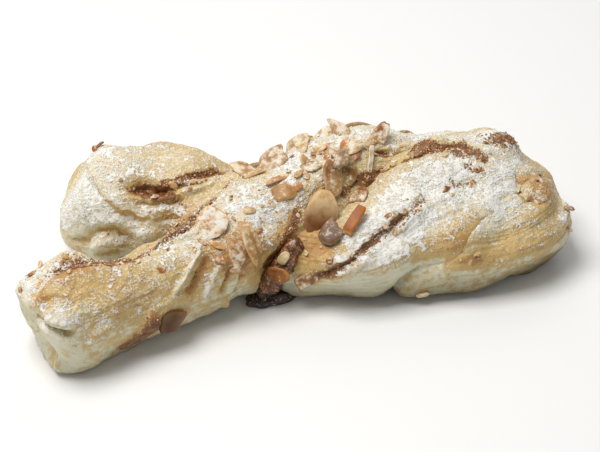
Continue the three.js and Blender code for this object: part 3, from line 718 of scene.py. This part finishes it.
    def detail(self):                                # peeling layers, grain and baking, and painted shade at the foot
        normals = gridNormals(self.points)
        upright = normals[..., 2]
        fromEnd = np.minimum(self.at, 1 - self.at) * self.length
        seeds = dough["seeds"]
        peeled = mottle(self.flowed / (dough["peelLong"], dough["peelFine"], 1), 1, seeds["peel"])
        level = dough["peelSteps"] * peeled
        part = level - np.floor(level)
        fine = dough["peelHeight"] * (np.floor(level) + smooth(part, 0.4, 0.6))
        layers = rough(self.flowed / (dough["layerLong"], dough["layerFine"], 1), 1, seeds["layers"])
        shown = (1 - dough["onTop"] * smooth(upright, 0.3, 0.9)) * smooth(fromEnd, *dough["layerStart"])
        fine += dough["layerHeight"] * layers * shown
        fine += dough["grainHeight"] * rough(self.points, dough["grainSize"], seeds["grain"], 2)
        self.points = self.points + normals * (fine * self.cap)[..., None]
        self.points[..., 2] = np.maximum(self.points[..., 2], dough["ground"])
        self.normals = gridNormals(self.points)
        baked = dough["sideGold"] + dough["topGold"] * smooth(upright, -0.35, 0.6)
        self.marks["gold"] += baked + dough["peelGold"] * bell((part - 0.5) / 0.12)
        # painted shade: the foot near the table is marked to be darkened, more towards the right, where
        # shade falls
        least = dough["paintedShadeLeast"]
        rightward = least + (1 - least) * smooth(self.points[..., 0], *dough["paintedShadeFrom"])
        self.marks["low"] = (1 - smooth(self.points[..., 2], *dough["paintedShadeBand"])) * rightward
        self.marks["fibre"] = smooth(fromEnd, *dough["fibreStart"]) * np.ones_like(upright)
        self.faces = gridFaces(self.shape["along"], self.shape["around"])

    def nearest(self, place, angle):                 # row and column of the mesh point there
        row = int(round(float(np.interp(place, self.at[:, 0], np.arange(len(self.at))))))
        return row, int(np.argmin(np.abs(angleBetween(self.around[0], angle))))

    def tree(self, every=1):
        grid = self.points[::every, ::every]
        return BVHTree.FromPolygons(closedGrid(grid).tolist(), gridFaces(*grid.shape[:2]))


strips = {"front": Strip(frontStrip), "back": Strip(backStrip)}
for strip in strips.values():
    strip.build()
    print("dough shaped,", strip.shape["name"], round(strip.length), "mm long")
trees = {name: strip.tree(3) for name, strip in strips.items()}
strips["front"].soften(trees["back"])
strips["back"].soften(trees["front"])
for strip in strips.values():
    strip.detail()
trees = {name: strip.tree() for name, strip in strips.items()}
print("dough merged and roughened")


sifted = {
    "every": 3,                                      # every third ring and point is tested
    "clear": 0.8,                                    # mm off the crust, where the test starts
    "facing": (-0.4, 0.5), "sheltered": 0.3,         # upright part of the normal, share under dough
    "fall": 0.5, "bare": 0.35, "limits": (-0.4, 0.72),   # sugar that falls, less what doesn't hold
}


def openSky(points, normals):                        # 1 where nothing of the dough lies above
    lifted = points + normals * sifted["clear"]
    sky = np.ones(len(points))
    for index, point in enumerate(lifted.tolist()):
        for tree in trees.values():
            if tree.ray_cast(point, (0, 0, 1))[0] is not None:
                sky[index] = 0
                break
    return sky


def sieveSugar(strip):                               # sugar falls from above on what faces up
    every, sheltered = sifted["every"], sifted["sheltered"]
    points, normals = strip.points[::every, ::every], strip.normals[::every, ::every]
    coarse = openSky(points.reshape(-1, 3), normals.reshape(-1, 3)).reshape(points.shape[:2])
    rows, columns = strip.points.shape[:2]
    sky = np.repeat(np.repeat(coarse, every, axis=0), every, axis=1)[:rows, :columns]
    facing = smooth(strip.normals[..., 2], *sifted["facing"]) * (sheltered + (1 - sheltered) * sky)
    fallen = strip.marks["sugar"] * facing + sifted["fall"] * facing - sifted["bare"]
    strip.marks["sugar"] = np.clip(fallen, *sifted["limits"])


for strip in strips.values():
    sieveSugar(strip)
print("sugar sifted")

crust = {
    "cream": linear(221, 218, 194), "olive": linear(204, 198, 160),
    "golden": linear(201, 171, 110), "toasted": linear(182, 137, 78),
    # base: the dull tint multiplied onto the foot as painted shade
    "brown": linear(152, 104, 62), "dark": linear(100, 62, 34), "base": linear(150, 140, 112),
    "dust": linear(233, 222, 198), "white": linear(234, 232, 226),
}


def powdered(wire, sugar, cobble, crumb, speck):     # 0 to 1, granular, covering about the given share
    grain = uneven((speck, 2.4), (crumb, 2.6), (cobble, 2.2))
    return ramp(wire, grain + (sugar - 0.5) * 2.0, 0.0, 0.15) * 0.96


def dusted(wire, sugar, cobble, crumb, speck):       # thinner and softer, wherever something faces up
    grain = uneven((speck, 2.8), (crumb, 1.8), (cobble, 1.0))
    return ramp(wire, grain + (sugar - 0.16) * 2.2, -0.1, 0.4) * 0.75


def bakedDough():
    fixed = {"Subsurface Weight": 0.10, "Subsurface Radius": (1.0, 0.6, 0.3), "Subsurface Scale": 0.002,
             "Specular IOR Level": 0.4}
    material, wire, shader = finish("baked_dough", fixed)
    place = onObject(wire)
    streak = noise(wire, stretched(wire, mark(wire, "flow", "Vector"), (0.06, 0.9, 1.0)), "fibre")
    names = ("broad", "cobble", "crumb", "speck")
    broad, cobble, crumb, speck = (noise(wire, place, name) for name in names)
    gold, brown, sugar = (mark(wire, name) for name in ("gold", "brown", "sugar"))
    lined = (streak - 0.5) * mark(wire, "fibre")

    pale = tint(wire, ramp(wire, lined + (broad - 0.5) * 0.5, -0.15, 0.25), crust["cream"], crust["olive"])
    bake = gold + uneven((broad, 0.9), (cobble, 0.9), (crumb, 0.9)) + lined * 0.7
    colour = tint(wire, ramp(wire, bake, 0.2, 0.75), pale, crust["golden"])
    colour = tint(wire, ramp(wire, bake, 0.85, 1.35), colour, crust["toasted"])
    stain = ramp(wire, brown + uneven((crumb, 1.2), (speck, 0.8)), 0.35, 0.7)
    filling = tint(wire, ramp(wire, crumb, 0.35, 0.65), crust["dark"], crust["brown"])
    colour = tint(wire, stain, colour, filling)
    dust = dusted(wire, sugar - stain * 0.25, cobble, crumb, speck)
    colour = tint(wire, dust, colour, crust["dust"])
    powder = powdered(wire, sugar + (broad - 0.5) * 1.0, cobble, crumb, speck)
    colour = tint(wire, powder, colour, crust["white"])
    # painted shade: the colour is multiplied towards a dull tint by the low mark near the foot
    shaded = tint(wire, mark(wire, "low"), colour, crust["base"], "MULTIPLY")
    relief = cobble * 0.5 + crumb * 0.55 + speck * 0.35 + dust * 0.2 + powder * 0.55 + lined * 0.25
    feed(wire, shader, Base_Color=shaded, Roughness=0.42 + dust * 0.2 + powder * 0.3,
         Normal=bumped(wire, relief, 0.85, 0.0009))
    return material


doughFinish = bakedDough()
for strip in strips.values():
    marks = {key: np.concatenate([values.ravel(), values[0, :1], values[-1, :1]])
             for key, values in strip.marks.items()}
    marks["flow"] = closedGrid(strip.flowed)
    meshPiece(strip.shape["name"], closedGrid(strip.points), strip.faces, doughFinish,
              ["pastry"], marks)


# Almond slices: each takes its place from its node, and has a rounded, bent and slightly uneven plate

slices = {
    "rings": 8, "around": 40, "thick": 1.15, "curl": 0.9, "waver": 0.3, "ragged": 0.08,
    "kinds": {"oval": (0.14, 2.2), "blade": (0.42, 2.0), "strip": (0.06, 5.0)},   # taper and squareness
    "blades": (10, 15, 16, 17), "strips": (11, 21, 24),
    # colours as seen at the pointed and the round end, and sugar, by number
    "looks": {
        1: ((230, 198, 150), (132, 82, 40), -0.4), 2: ((196, 156, 104), (190, 148, 96), 0.46),
        3: ((174, 138, 106), (184, 150, 116), 0.22), 4: ((186, 144, 92), (174, 132, 80), -0.1),
        5: ((146, 108, 70), (178, 140, 92), 0.05), 6: ((164, 136, 104), (146, 118, 88), 0.15),
        7: ((162, 132, 78), (144, 114, 64), 0.05), 8: ((200, 176, 136), (190, 162, 120), 0.25),
        9: ((196, 166, 126), (184, 150, 108), 0.3), 10: ((198, 166, 124), (188, 152, 108), 0.28),
        11: ((186, 142, 96), (178, 134, 88), 0.18), 12: ((170, 146, 100), (156, 130, 86), 0.3),
        13: ((198, 176, 140), (188, 160, 120), 0.34), 14: ((156, 92, 50), (198, 174, 136), 0.28),
        15: ((190, 152, 100), (198, 164, 114), 0.1), 16: ((190, 152, 100), (198, 164, 114), 0.1),
        17: ((182, 140, 94), (176, 132, 86), 0.2), 18: ((140, 98, 54), (88, 58, 26), -0.5),
        19: ((158, 116, 76), (168, 128, 86), 0.2), 20: ((138, 108, 82), (100, 70, 48), 0.0),
        21: ((166, 94, 14), (168, 98, 20), -0.4), 22: ((170, 114, 44), (128, 76, 22), -0.1),
        23: ((204, 188, 150), (190, 168, 122), -0.1), 24: ((152, 118, 82), (158, 122, 84), 0.12),
    },
    "otherLook": ((208, 178, 136), (198, 164, 118), 0.24),
    # mm outward from the node: most slices, and others by number
    "raise": 0.3,
    "lifts": {2: -0.4, 4: 0.8, 6: -0.3, 10: -0.2, 12: 0.5, 13: -0.2, 16: -0.3, 21: -0.3, 24: 0.7},
    "chunks": {18: 2.0},                             # mm thick
    "short": {22: 0.85, 23: 0.72},                   # share of the length
    "slim": {21: 0.68, 22: 0.8, 23: 0.7},            # share of the width
    # where the pointed end, or below 0 the round end, has broken off, as a share of the half length
    "broken": {3: 0.55, 6: -0.5, 8: 0.6, 9: -0.6, 12: 0.4, 13: 0.5, 14: -0.4, 18: 0.6, 19: -0.55, 20: 0.45},
}


def sliceAxes(node):                                 # middle, long, wide and outward axis, and half sizes
    points = np.array([vertex.co for vertex in node.data.vertices]) / mm
    middle = points.mean(axis=0)
    out, wide, long = np.linalg.eigh(np.cov((points - middle).T))[1].T
    centres = np.vstack([strip.section(np.linspace(0, 1, 200))["middle"] for strip in strips.values()])
    nearest = centres[np.argmin(np.linalg.norm(centres - middle, axis=1))]
    out = out * np.sign((middle - nearest) @ out)
    axes = np.stack([long, wide, out], axis=1)
    flat = (points - middle) @ axes
    half = (flat.max(axis=0) - flat.min(axis=0)) / 2
    middle = middle + axes @ ((flat.max(axis=0) + flat.min(axis=0)) / 2)
    flat = (points - middle) @ axes
    nearEnd = 0.6 * half[0]                          # past this the two ends' widths are compared
    ahead = np.abs(flat[flat[:, 0] > nearEnd, 1]).max()
    behind = np.abs(flat[flat[:, 0] < -nearEnd, 1]).max()
    if ahead > behind:
        long = -long
    return middle, long, np.cross(out, long), out, half


def plate(long, wide, thick, seed, kind, ragged, broken=None):   # a bent plate in its own axes
    rings = np.linspace(0.06, 1, slices["rings"])
    share = np.concatenate([rings, np.linspace(1, 0.06, slices["rings"])])
    face = np.repeat([1.0, -1.0], slices["rings"])[:, None]
    turn = 2 * np.pi * np.arange(slices["around"]) / slices["around"]
    taper, square = slices["kinds"][kind]
    spot = np.stack([np.cos(turn), np.sin(turn), 0 * turn + seed * 7.3], axis=-1)
    outline = 1 + ragged * rough(spot, 0.6, 4, 2)
    x = long * squared(np.cos(turn), 2 / square) * outline
    y = wide * squared(np.sin(turn), 2 / square) * outline * (1 - taper * np.cos(turn))
    if broken:
        edge = long * (broken + 0.15 * mottle(spot, 0.35, 5) + np.sign(broken) * 0.25 * np.sin(turn))
        x = np.minimum(x, edge) if broken > 0 else np.maximum(x, edge)
    grid = np.stack([share[:, None] * x, share[:, None] * y, 0 * share[:, None] * x], axis=-1)
    edge = np.sqrt(np.clip(1 - share[:, None] ** 8, 0, 1))
    curl = slices["curl"] * long / 6 * (0.5 + np.abs(mottle(np.array([[seed * 3.1, 0, 0]]), 1.0, 6)))
    bent = curl * (0.25 - (grid[..., 0] / long) ** 2) * 0.6
    bent = bent + slices["waver"] * mottle(grid + (0, 0, seed * 11.0), 4.5, 8)
    grid[..., 2] = face * edge * thick / 2 + bent
    return grid, np.repeat(share[:, None], slices["around"], axis=1)


def platePiece(name, plates, material, replaced=()):   # one mesh of many plates with their colours
    points, faces, tones, rims, dust, flats = [], [], [], [], [], []
    for number, (grid, rim, lie, tip, foot, sugar) in enumerate(plates):
        offset = sum(len(part) for part in points)
        middle, long, wide, out = lie
        points.append(closedGrid(middle + grid @ np.stack([long, wide, out])))
        faces += gridFaces(*grid.shape[:2], offset)
        reach = np.abs(grid[..., 0]).max()
        ahead = smooth(closedGrid(grid)[:, :1] / reach, -0.6, 0.8)
        tones.append(np.array(linear(*foot)) * (1 - ahead) + np.array(linear(*tip)) * ahead)
        rims.append(np.concatenate([rim.ravel(), [0, 0]]))
        dust.append(np.full(len(points[-1]), sugar))
        flats.append(closedGrid(grid + (number * 31.0, 0, 0)))
    marks = {"tone": np.vstack(tones), "rim": np.concatenate(rims), "sugar": np.concatenate(dust),
             "flat": np.vstack(flats)}
    meshPiece(name, np.vstack(points), faces, material, replaced, marks)


def almondSlices(material):
    plates = []
    names = sorted(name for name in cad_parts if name.startswith("almond_"))
    for number, name in enumerate(names, 1):
        middle, long, wide, out, half = sliceAxes(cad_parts[name])
        middle = middle + out * slices["lifts"].get(number, slices["raise"])
        kind = "blade" if number in slices["blades"] else "strip" if number in slices["strips"] else "oval"
        reach = half[0] * slices["short"].get(number, 1)
        broad = half[1] * slices["slim"].get(number, 1)
        thick = slices["chunks"].get(number, slices["thick"])
        broken = slices["broken"].get(number)
        grid, rim = plate(reach, broad, thick, number, kind, slices["ragged"], broken)
        tip, foot, sugar = slices["looks"].get(number, slices["otherLook"])
        plates.append((grid, rim, (middle, long, wide, out), tip, foot, sugar))
    platePiece("almond_slices", plates, material, names)


toasting = {
    "shade": linear(214, 190, 160), "light": linear(92, 76, 52), "skin": linear(210, 174, 134),
    "powder": linear(222, 220, 214),
}


def toasted(name, roughness):
    fixed = {"Subsurface Weight": 0.06, "Subsurface Radius": (1.0, 0.6, 0.3), "Subsurface Scale": 0.001,
             "Specular IOR Level": 0.25}
    material, wire, shader = finish(name, fixed)
    place = onObject(wire)
    grain = noise(wire, stretched(wire, mark(wire, "flat", "Vector"), (0.12, 1.1, 0.3)), "almondFibre")
    blotch, crumb, speck = (noise(wire, place, name) for name in ("cobble", "crumb", "speck"))
    tone = mark(wire, "tone", "Color")
    rim, sugar = mark(wire, "rim"), mark(wire, "sugar")
    shade = tint(wire, 1.0, tone, toasting["shade"], "MULTIPLY")
    lit = tint(wire, 1.0, tone, toasting["light"], "SCREEN")
    skin = tint(wire, 1.0, tone, toasting["skin"], "MULTIPLY")
    colour = tint(wire, ramp(wire, grain * 0.15 + blotch * 0.85, 0.35, 0.62), shade, tone)
    colour = tint(wire, ramp(wire, rim + (blotch - 0.5) * 0.5, 0.55, 0.95) * 0.55, colour, lit)
    colour = tint(wire, ramp(wire, rim, 0.92, 1.0) * 0.6, colour, skin)
    bared = sugar - ramp(wire, rim, 0.84, 1.0) * 0.25
    patchy = uneven((blotch, 2.4), (crumb, 2.0), (speck, 1.8))
    colour = tint(wire, ramp(wire, patchy + (bared - 0.12) * 2.2, -0.2, 0.8) * 0.7, colour, crust["dust"])
    powder = ramp(wire, patchy + (bared - 0.4) * 2.4, -0.1, 0.5) * 0.9
    colour = tint(wire, powder, colour, toasting["powder"])
    feed(wire, shader, Base_Color=colour, Roughness=roughness + powder * 0.45 + (blotch - 0.5) * 0.2,
         Normal=bumped(wire, grain * 0.15 + blotch * 0.2 + speck * 0.2 + powder * 0.4, 0.4, 0.0005))
    return material


almondFinish = toasted("toasted_almond", 0.4)
almondSlices(almondFinish)


# Filling in the open folds, and the leak that set in front of the crossing

ribbons = {
    "half": 1.5, "tall": 1.0, "lump": 0.6, "lumpSize": 1.8, "step": 0.6, "sides": 16, "seed": 51,
    "sink": 0.3, "hide": 2.0,                        # mm below the fold's floor, more where closed
    "evened": 7,                                     # rings over which the fold's floor is evened out
    # dark and light brown, roughness, coat and sugar
    "finishes": {
        "open_filling": (linear(108, 64, 28), linear(160, 104, 50), 0.5, 0.1, 0.4),
        "dusty_filling": (linear(132, 88, 54), linear(190, 146, 98), 0.6, 0.0, 0.95),
    },
    # node, strip, first and last place, finish
    "runs": [
        ("filling_front", "front", 0.05, 0.64, "dusty_filling"),
        ("filling_back_left", "back", 0.13, 0.31, "open_filling"),
        ("filling_back_right", "back", 0.56, 0.87, "dusty_filling"),
    ],
}


def brownFilling(name, dark, light, roughness, coat, dust, foot=None):   # foot: where it has pooled
    fixed = {"Coat Weight": coat, "Coat Roughness": 0.12, "Specular IOR Level": 0.3,
             "Subsurface Weight": 0.05, "Subsurface Radius": (1.0, 0.35, 0.1), "Subsurface Scale": 0.0015}
    material, wire, shader = finish(name, fixed)
    place = onObject(wire)
    lump, speck = noise(wire, place, "lump"), noise(wire, place, "fleck")
    colour = tint(wire, ramp(wire, lump * 0.7 + speck * 0.3, 0.36, 0.64), dark, light)
    if foot:
        height = wire.node("ShaderNodeSeparateXYZ", None, {0: place}, "Z")
        colour = tint(wire, ramp(wire, height + (lump - 0.5) * 0.004, 0.005, 0.011), foot, colour)
    powder = ramp(wire, speck + (lump - 0.5) * 0.5, 0.6, 0.68) * dust
    colour = tint(wire, powder, colour, crust["white"])
    feed(wire, shader, Base_Color=colour, Roughness=roughness + powder * 0.4 + (lump - 0.5) * 0.2,
         Normal=bumped(wire, lump * 0.6 + speck * 0.4, 0.6, 0.0008))
    return material


def tube(path, across, up, wide, tall, shape):       # lumpy closed tube, rings along a path
    sides = shape["sides"]
    turn = 2 * np.pi * np.arange(sides) / sides
    ends = np.sqrt(np.clip(1 - np.linspace(-1, 1, len(path)) ** 16, 0.02, 1))[:, None]
    flat = np.cos(turn)[None, :] * wide[:, None] * ends
    rise = np.sin(turn)[None, :] * tall[:, None] * ends
    grid = path[:, None] + across[:, None] * flat[..., None] + up[:, None] * rise[..., None]
    outward = unit(across[:, None] * np.cos(turn)[:, None] + up[:, None] * np.sin(turn)[:, None])
    lumps = shape["lump"] * rough(grid, shape["lumpSize"], shape["seed"])
    return grid + outward * (lumps * ends)[..., None]


def fillingRibbon(name, stripName, start, end, material):
    strip = strips[stripName]
    count = int((end - start) * strip.length / ribbons["step"])
    at = np.linspace(start, end, count)
    section = strip.section(at)
    floor = np.array([strip.points[strip.nearest(*spot)] for spot in zip(at, strip.foldAngle(at))])
    window = np.ones(ribbons["evened"]) / ribbons["evened"]
    padded = np.pad(floor, ((ribbons["evened"] // 2,) * 2, (0, 0)), mode="edge")
    floor = np.stack([np.convolve(padded[:, axis], window, "valid") for axis in range(3)], axis=1)
    up = unit(floor - section["middle"])
    across = unit(np.cross(section["tangent"], up))
    size = 0.75 + 0.35 * mottle(strip.flow(at, 0 * at), 7, 17)
    closed = 1 - np.clip(np.interp(at, strip.fold[0], strip.fold[2]), 0, 1)
    depth = ribbons["sink"] + ribbons["hide"] * closed
    wide, tall = ribbons["half"] * size, ribbons["tall"] * size
    grid = tube(floor - up * depth[:, None], across, up, wide, tall, ribbons)
    faces = [face[::-1] for face in gridFaces(count, ribbons["sides"])]
    pieceName = name.replace("filling", "almond_filling")
    meshPiece(pieceName, closedGrid(grid), faces, material, [name])


fillings = {name: brownFilling(name, *values) for name, values in ribbons["finishes"].items()}
for *run, finishName in ribbons["runs"]:
    fillingRibbon(*run, fillings[finishName])

leak = {
    # along, across, up, radius
    "path": [(-1, -17.5, 27, 2.6), (-5.5, -19.8, 21, 4.4), (-10, -19.8, 14, 5.0), (-12.5, -18, 7, 4.2),
             (-13, -16.5, 1.5, 4.0)],
    "rings": 70, "sides": 36, "lump": 1.3, "lumpSize": 4.2, "seed": 61,
    "puddle": {"middle": (-12, -18, 1), "size": (9.5, 4.8, 3.2), "rings": 24, "sides": 60},
    "ground": 0.05,                                  # mm above the table
    "dark": linear(62, 36, 20), "light": linear(148, 92, 46), "foot": linear(60, 40, 28),
}


def setLeak(material):
    rows = np.array(leak["path"], float)
    t = np.linspace(0, len(rows) - 1, leak["rings"])
    path = through(rows, t)
    along = unit(np.gradient(path[:, :3], axis=0))
    across = unit(np.cross(along, (0, 1, 0)))
    up = unit(np.cross(across, along))
    grid = tube(path[:, :3], across, up, path[:, 3], path[:, 3], leak)
    pool = leak["puddle"]
    tip = np.linspace(0.06, np.pi - 0.06, pool["rings"])
    turn = 2 * np.pi * np.arange(pool["sides"]) / pool["sides"]
    ball = np.stack([np.sin(tip)[:, None] * np.cos(turn), np.sin(tip)[:, None] * np.sin(turn),
                     np.cos(tip)[:, None] + 0 * turn], axis=-1)
    ragged = 1 + 0.16 * mottle(ball * (1, 1, 0) + (9, 0, 0), 0.45, 63)
    swell = 1 + 0.12 * mottle(ball, 0.5, 65)
    pooled = np.array(pool["middle"]) + ball * pool["size"] * (ragged * swell)[..., None]
    for part in (grid, pooled):
        part[..., 2] = np.maximum(part[..., 2], leak["ground"])
    points = closedGrid(grid)
    faces = [face[::-1] for face in gridFaces(leak["rings"], leak["sides"])]
    faces += gridFaces(pool["rings"], pool["sides"], len(points))
    points = np.vstack([points, closedGrid(pooled)])
    meshPiece("set_leak", points, faces, material, ["filling_leak"])


setLeak(brownFilling("caramel_leak", leak["dark"], leak["light"], 0.25, 0.4, 0.35, leak["foot"]))


# Loose grains: clumps of sugar and brown crumbs, each kind one joined mesh

grains = {
    "sugar": {"count": 9500, "low": 0.12, "high": 0.4, "seed": 11, "flat": 0.7},
    "crumbs": {"count": 3000, "low": 0.15, "high": 0.55, "seed": 12, "flat": 0.7},
    "lowest": 1.5,                                   # mm above the table
    "grey": linear(226, 224, 218),                   # the sugar's darker grains
    "dark": linear(118, 74, 42), "brown": linear(174, 122, 74), "pale": linear(218, 188, 144),   # crumbs
}
golden = (1 + 5 ** 0.5) / 2                          # the golden ratio, for a ball of twenty triangles
ballPoints = unit(np.array([
    (-1, golden, 0), (1, golden, 0), (-1, -golden, 0), (1, -golden, 0), (0, -1, golden), (0, 1, golden),
    (0, -1, -golden), (0, 1, -golden), (golden, 0, -1), (golden, 0, 1), (-golden, 0, -1), (-golden, 0, 1),
]))
ballFaces = np.array([
    (0, 11, 5), (0, 5, 1), (0, 1, 7), (0, 7, 10), (0, 10, 11), (1, 5, 9), (5, 11, 4), (11, 10, 2),
    (10, 7, 6), (7, 1, 8), (3, 9, 4), (3, 4, 2), (3, 2, 6), (3, 6, 8), (3, 8, 9), (4, 9, 5), (2, 4, 11),
    (6, 2, 10), (8, 6, 7), (9, 8, 1),
])


def strewn(rng, weight, count):                      # places on both strips, more where the weight is high
    spots, normals = [], []
    weights = {name: weight(strip) for name, strip in strips.items()}
    total = sum(values.sum() for values in weights.values())
    for name, strip in strips.items():
        other = trees["back" if name == "front" else "front"]
        share = weights[name].ravel() / weights[name].sum()
        wanted = int(count * weights[name].sum() / total)
        chosen = rng.choice(share.size, wanted, p=share)
        rows, columns = np.divmod(chosen, strip.points.shape[1])
        beside = (columns + 1) % strip.points.shape[1]
        part = rng.random((wanted, 1))
        places = strip.points[rows, columns] * (1 - part) + strip.points[rows, beside] * part
        facing = strip.normals[rows, columns]
        for place, normal in zip(places, facing):
            spot, out, index, distance = other.find_nearest(place.tolist())
            if (Vector(place) - spot).dot(out) > 0 and place[2] > grains["lowest"]:
                spots.append(place)
                normals.append(normal)
    return np.array(spots), np.array(normals)


def grainMesh(name, kind, weight, material):
    rng = np.random.default_rng(kind["seed"])
    spots, normals = strewn(rng, weight, kind["count"])
    count, corners = len(spots), len(ballPoints)
    size = kind["low"] + (kind["high"] - kind["low"]) * rng.random(count) ** 2.5
    shape = ballPoints[None] * (0.7 + 0.6 * rng.random((count, corners, 1)))
    turn = np.linalg.qr(rng.standard_normal((count, 3, 3)))[0]
    shape = np.einsum("nij,nkj->nki", turn, shape) * size[:, None, None]
    squash = np.einsum("nki,ni->nk", shape, normals)
    shape = shape - normals[:, None] * (squash * (1 - kind["flat"]))[..., None]
    points = (spots + normals * size[:, None] * 0.25)[:, None] + shape
    flip = np.sign(np.linalg.det(turn)) < 0
    faces = ballFaces[None] + corners * np.arange(count)[:, None, None]
    faces[flip] = faces[flip][..., ::-1]
    meshPiece(name, points.reshape(-1, 3), faces.reshape(-1, 3).tolist(), material)


def sugarFinish():
    material, wire, shader = finish("sifted_sugar", {"Roughness": 0.9, "Subsurface Weight": 0.15,
                                                     "Subsurface Scale": 0.001})
    shade = noise(wire, onObject(wire), "clump")
    colour = tint(wire, ramp(wire, shade, 0.3, 0.7), grains["grey"], crust["white"])
    feed(wire, shader, Base_Color=colour)
    return material


def crumbFinish():
    material, wire, shader = finish("brown_crumbs", {"Roughness": 0.7})
    shade = noise(wire, onObject(wire), "loose")
    colour = tint(wire, ramp(wire, shade, 0.3, 0.55), grains["dark"], grains["brown"])
    colour = tint(wire, ramp(wire, shade, 0.5, 0.65), colour, grains["pale"])
    feed(wire, shader, Base_Color=colour)
    return material


def sugarWeight(strip):                              # more where more sugar has fallen
    return np.clip(strip.marks["sugar"] - 0.1, 0, 1) ** 1.3


def crumbWeight(strip):                              # stains that face up and aren't bare of sugar
    stained = np.clip(strip.marks["brown"] - 0.25, 0, 1)
    return stained * smooth(strip.normals[..., 2], -0.2, 0.4) * smooth(strip.marks["sugar"], -0.4, -0.2)


grainMesh("sifted_sugar", grains["sugar"], sugarWeight, sugarFinish())
grainMesh("brown_crumbs", grains["crumbs"], crumbWeight, crumbFinish())


# Broken bits of almond, and flakes of crust that have lifted along the folds

shards = {
    "thick": 0.9, "ragged": 0.15, "seat": 0.3, "sugar": 0.12, "firstSeed": 60,
    # strip, place, angle, long, wide, turn, lift, colour
    "rows": [
        ("front", 0.497, 88, 5, 3, 20, 12, (194, 124, 54)),
        ("front", 0.506, 85, 4, 2.4, -50, 10, (186, 112, 48)),
        ("front", 0.497, 67, 4.5, 2.6, 10, 25, (156, 96, 50)),
        ("front", 0.517, 61, 10, 2, 75, 14, (232, 222, 200)),
        ("front", 0.395, 86, 11.5, 2.6, 0, 3, (198, 152, 110)),
        ("front", 0.375, 110, 9, 2.6, 4, 4, (208, 176, 132)),
        ("front", 0.403, 65, 4.2, 2.6, -10, 8, (192, 134, 74)),
        ("front", 0.266, 52, 6, 2.4, -60, 8, (204, 156, 100)),
        ("front", 0.262, 33, 5, 3, -40, 6, (176, 118, 66)),
        ("front", 0.275, 18, 4, 2.5, 30, 8, (196, 146, 92)),
        ("back", 0.585, 70, 5, 2.6, 40, 6, (186, 140, 92)),
        ("front", 0.46, 75, 5, 3, 30, 8, (206, 166, 112)),
        ("back", 0.084, 113, 4, 2, 20, 20, (150, 92, 52)),
        ("back", 0.074, 108, 3, 2, 80, 30, (164, 104, 62)),
        ("front", 0.793, 147, 4, 2.4, 60, 30, (150, 112, 84)),
        ("front", 0.796, 172, 2.6, 2, 20, 30, (224, 216, 204)),
        ("front", 0.05, 118, 3, 1.6, 40, 35, (206, 164, 112)),
        ("front", 0.952, 205, 5, 3, 0, 0, (214, 190, 148)),
        ("front", 0.455, 108, 6, 3.4, 50, 12, (214, 190, 150)),
        ("front", 0.47, 96, 5, 3, -20, 14, (206, 176, 130)),
        ("front", 0.442, 92, 5.5, 3.2, 70, 10, (200, 166, 122)),
        ("front", 0.415, 76, 4.5, 2.6, 25, 12, (206, 176, 130)),
        ("front", 0.33, 72, 5, 2.8, -30, 6, (212, 188, 148)),
        ("front", 0.31, 58, 4.5, 2.6, 40, 6, (208, 178, 132)),
        ("front", 0.525, 82, 5, 3, 10, 12, (196, 156, 106)),
    ],
}
flakes = {
    "count": 220, "low": 0.6, "high": 1.9, "thick": 0.3, "seed": 14, "ragged": 0.35, "seat": 0.25,
    "sugar": 0.2, "firstSeed": 90, "every": 2,
    "colours": [(206, 170, 118), (182, 132, 78), (222, 200, 158), (160, 108, 60)],
}


def lying(normal, along, turn, lift):                # axes of a plate on the crust
    along = unit(along - normal * (along @ normal))
    across = np.cross(normal, along)
    turn, lift = radians(turn), radians(lift)
    flat = along * np.cos(turn) + across * np.sin(turn)
    long = flat * np.cos(lift) + normal * np.sin(lift)
    wide = np.cross(normal, flat)
    return long, wide, np.cross(long, wide)


def almondShards(material):
    plates = []
    for seed, row in enumerate(shards["rows"], shards["firstSeed"]):
        name, place, angle, long, wide, turn, lift, colour = row
        strip = strips[name]
        spot = strip.nearest(place, angle)
        normal = strip.normals[spot]
        kind = "strip" if long > 2.5 * wide else "oval"
        grid, rim = plate(long / 2, wide / 2, shards["thick"], seed, kind, shards["ragged"])
        axes = lying(normal, strip.tangent(np.array(place)), turn, lift)
        tipped = 0.8 * long / 2 * np.sin(radians(lift))
        seat = strip.points[spot] + normal * (shards["seat"] + tipped)
        plates.append((grid, rim, (seat, *axes), colour, colour, shards["sugar"]))
    platePiece("almond_shards", plates, material)


def stainEdge(strip):                                # highest where a stain is half strong and faces up
    brown = strip.marks["brown"]
    return 4 * brown * (1 - brown) * smooth(strip.normals[..., 2], -0.1, 0.5)


def crustFlakes(material):
    rng = np.random.default_rng(flakes["seed"])
    spots, normals = strewn(rng, stainEdge, flakes["count"])
    plates, every = [], flakes["every"]              # every second ring and point is kept
    for seed, (spot, normal) in enumerate(zip(spots, normals), flakes["firstSeed"]):
        long = flakes["low"] + (flakes["high"] - flakes["low"]) * rng.random() ** 2
        wide = long * rng.uniform(0.4, 0.8)
        grid, rim = plate(long, wide, flakes["thick"], seed, "oval", flakes["ragged"])
        axes = lying(normal, rng.standard_normal(3), rng.uniform(0, 360), rng.uniform(-5, 40))
        colour = flakes["colours"][rng.integers(len(flakes["colours"]))]
        lie = (spot + normal * flakes["seat"], *axes)
        plates.append((grid[::every, ::every], rim[::every, ::every], lie, colour, colour, flakes["sugar"]))
    platePiece("crust_flakes", plates, material)


almondShards(almondFinish)
crustFlakes(toasted("crust_flakes", 0.55))

print("all pieces made")
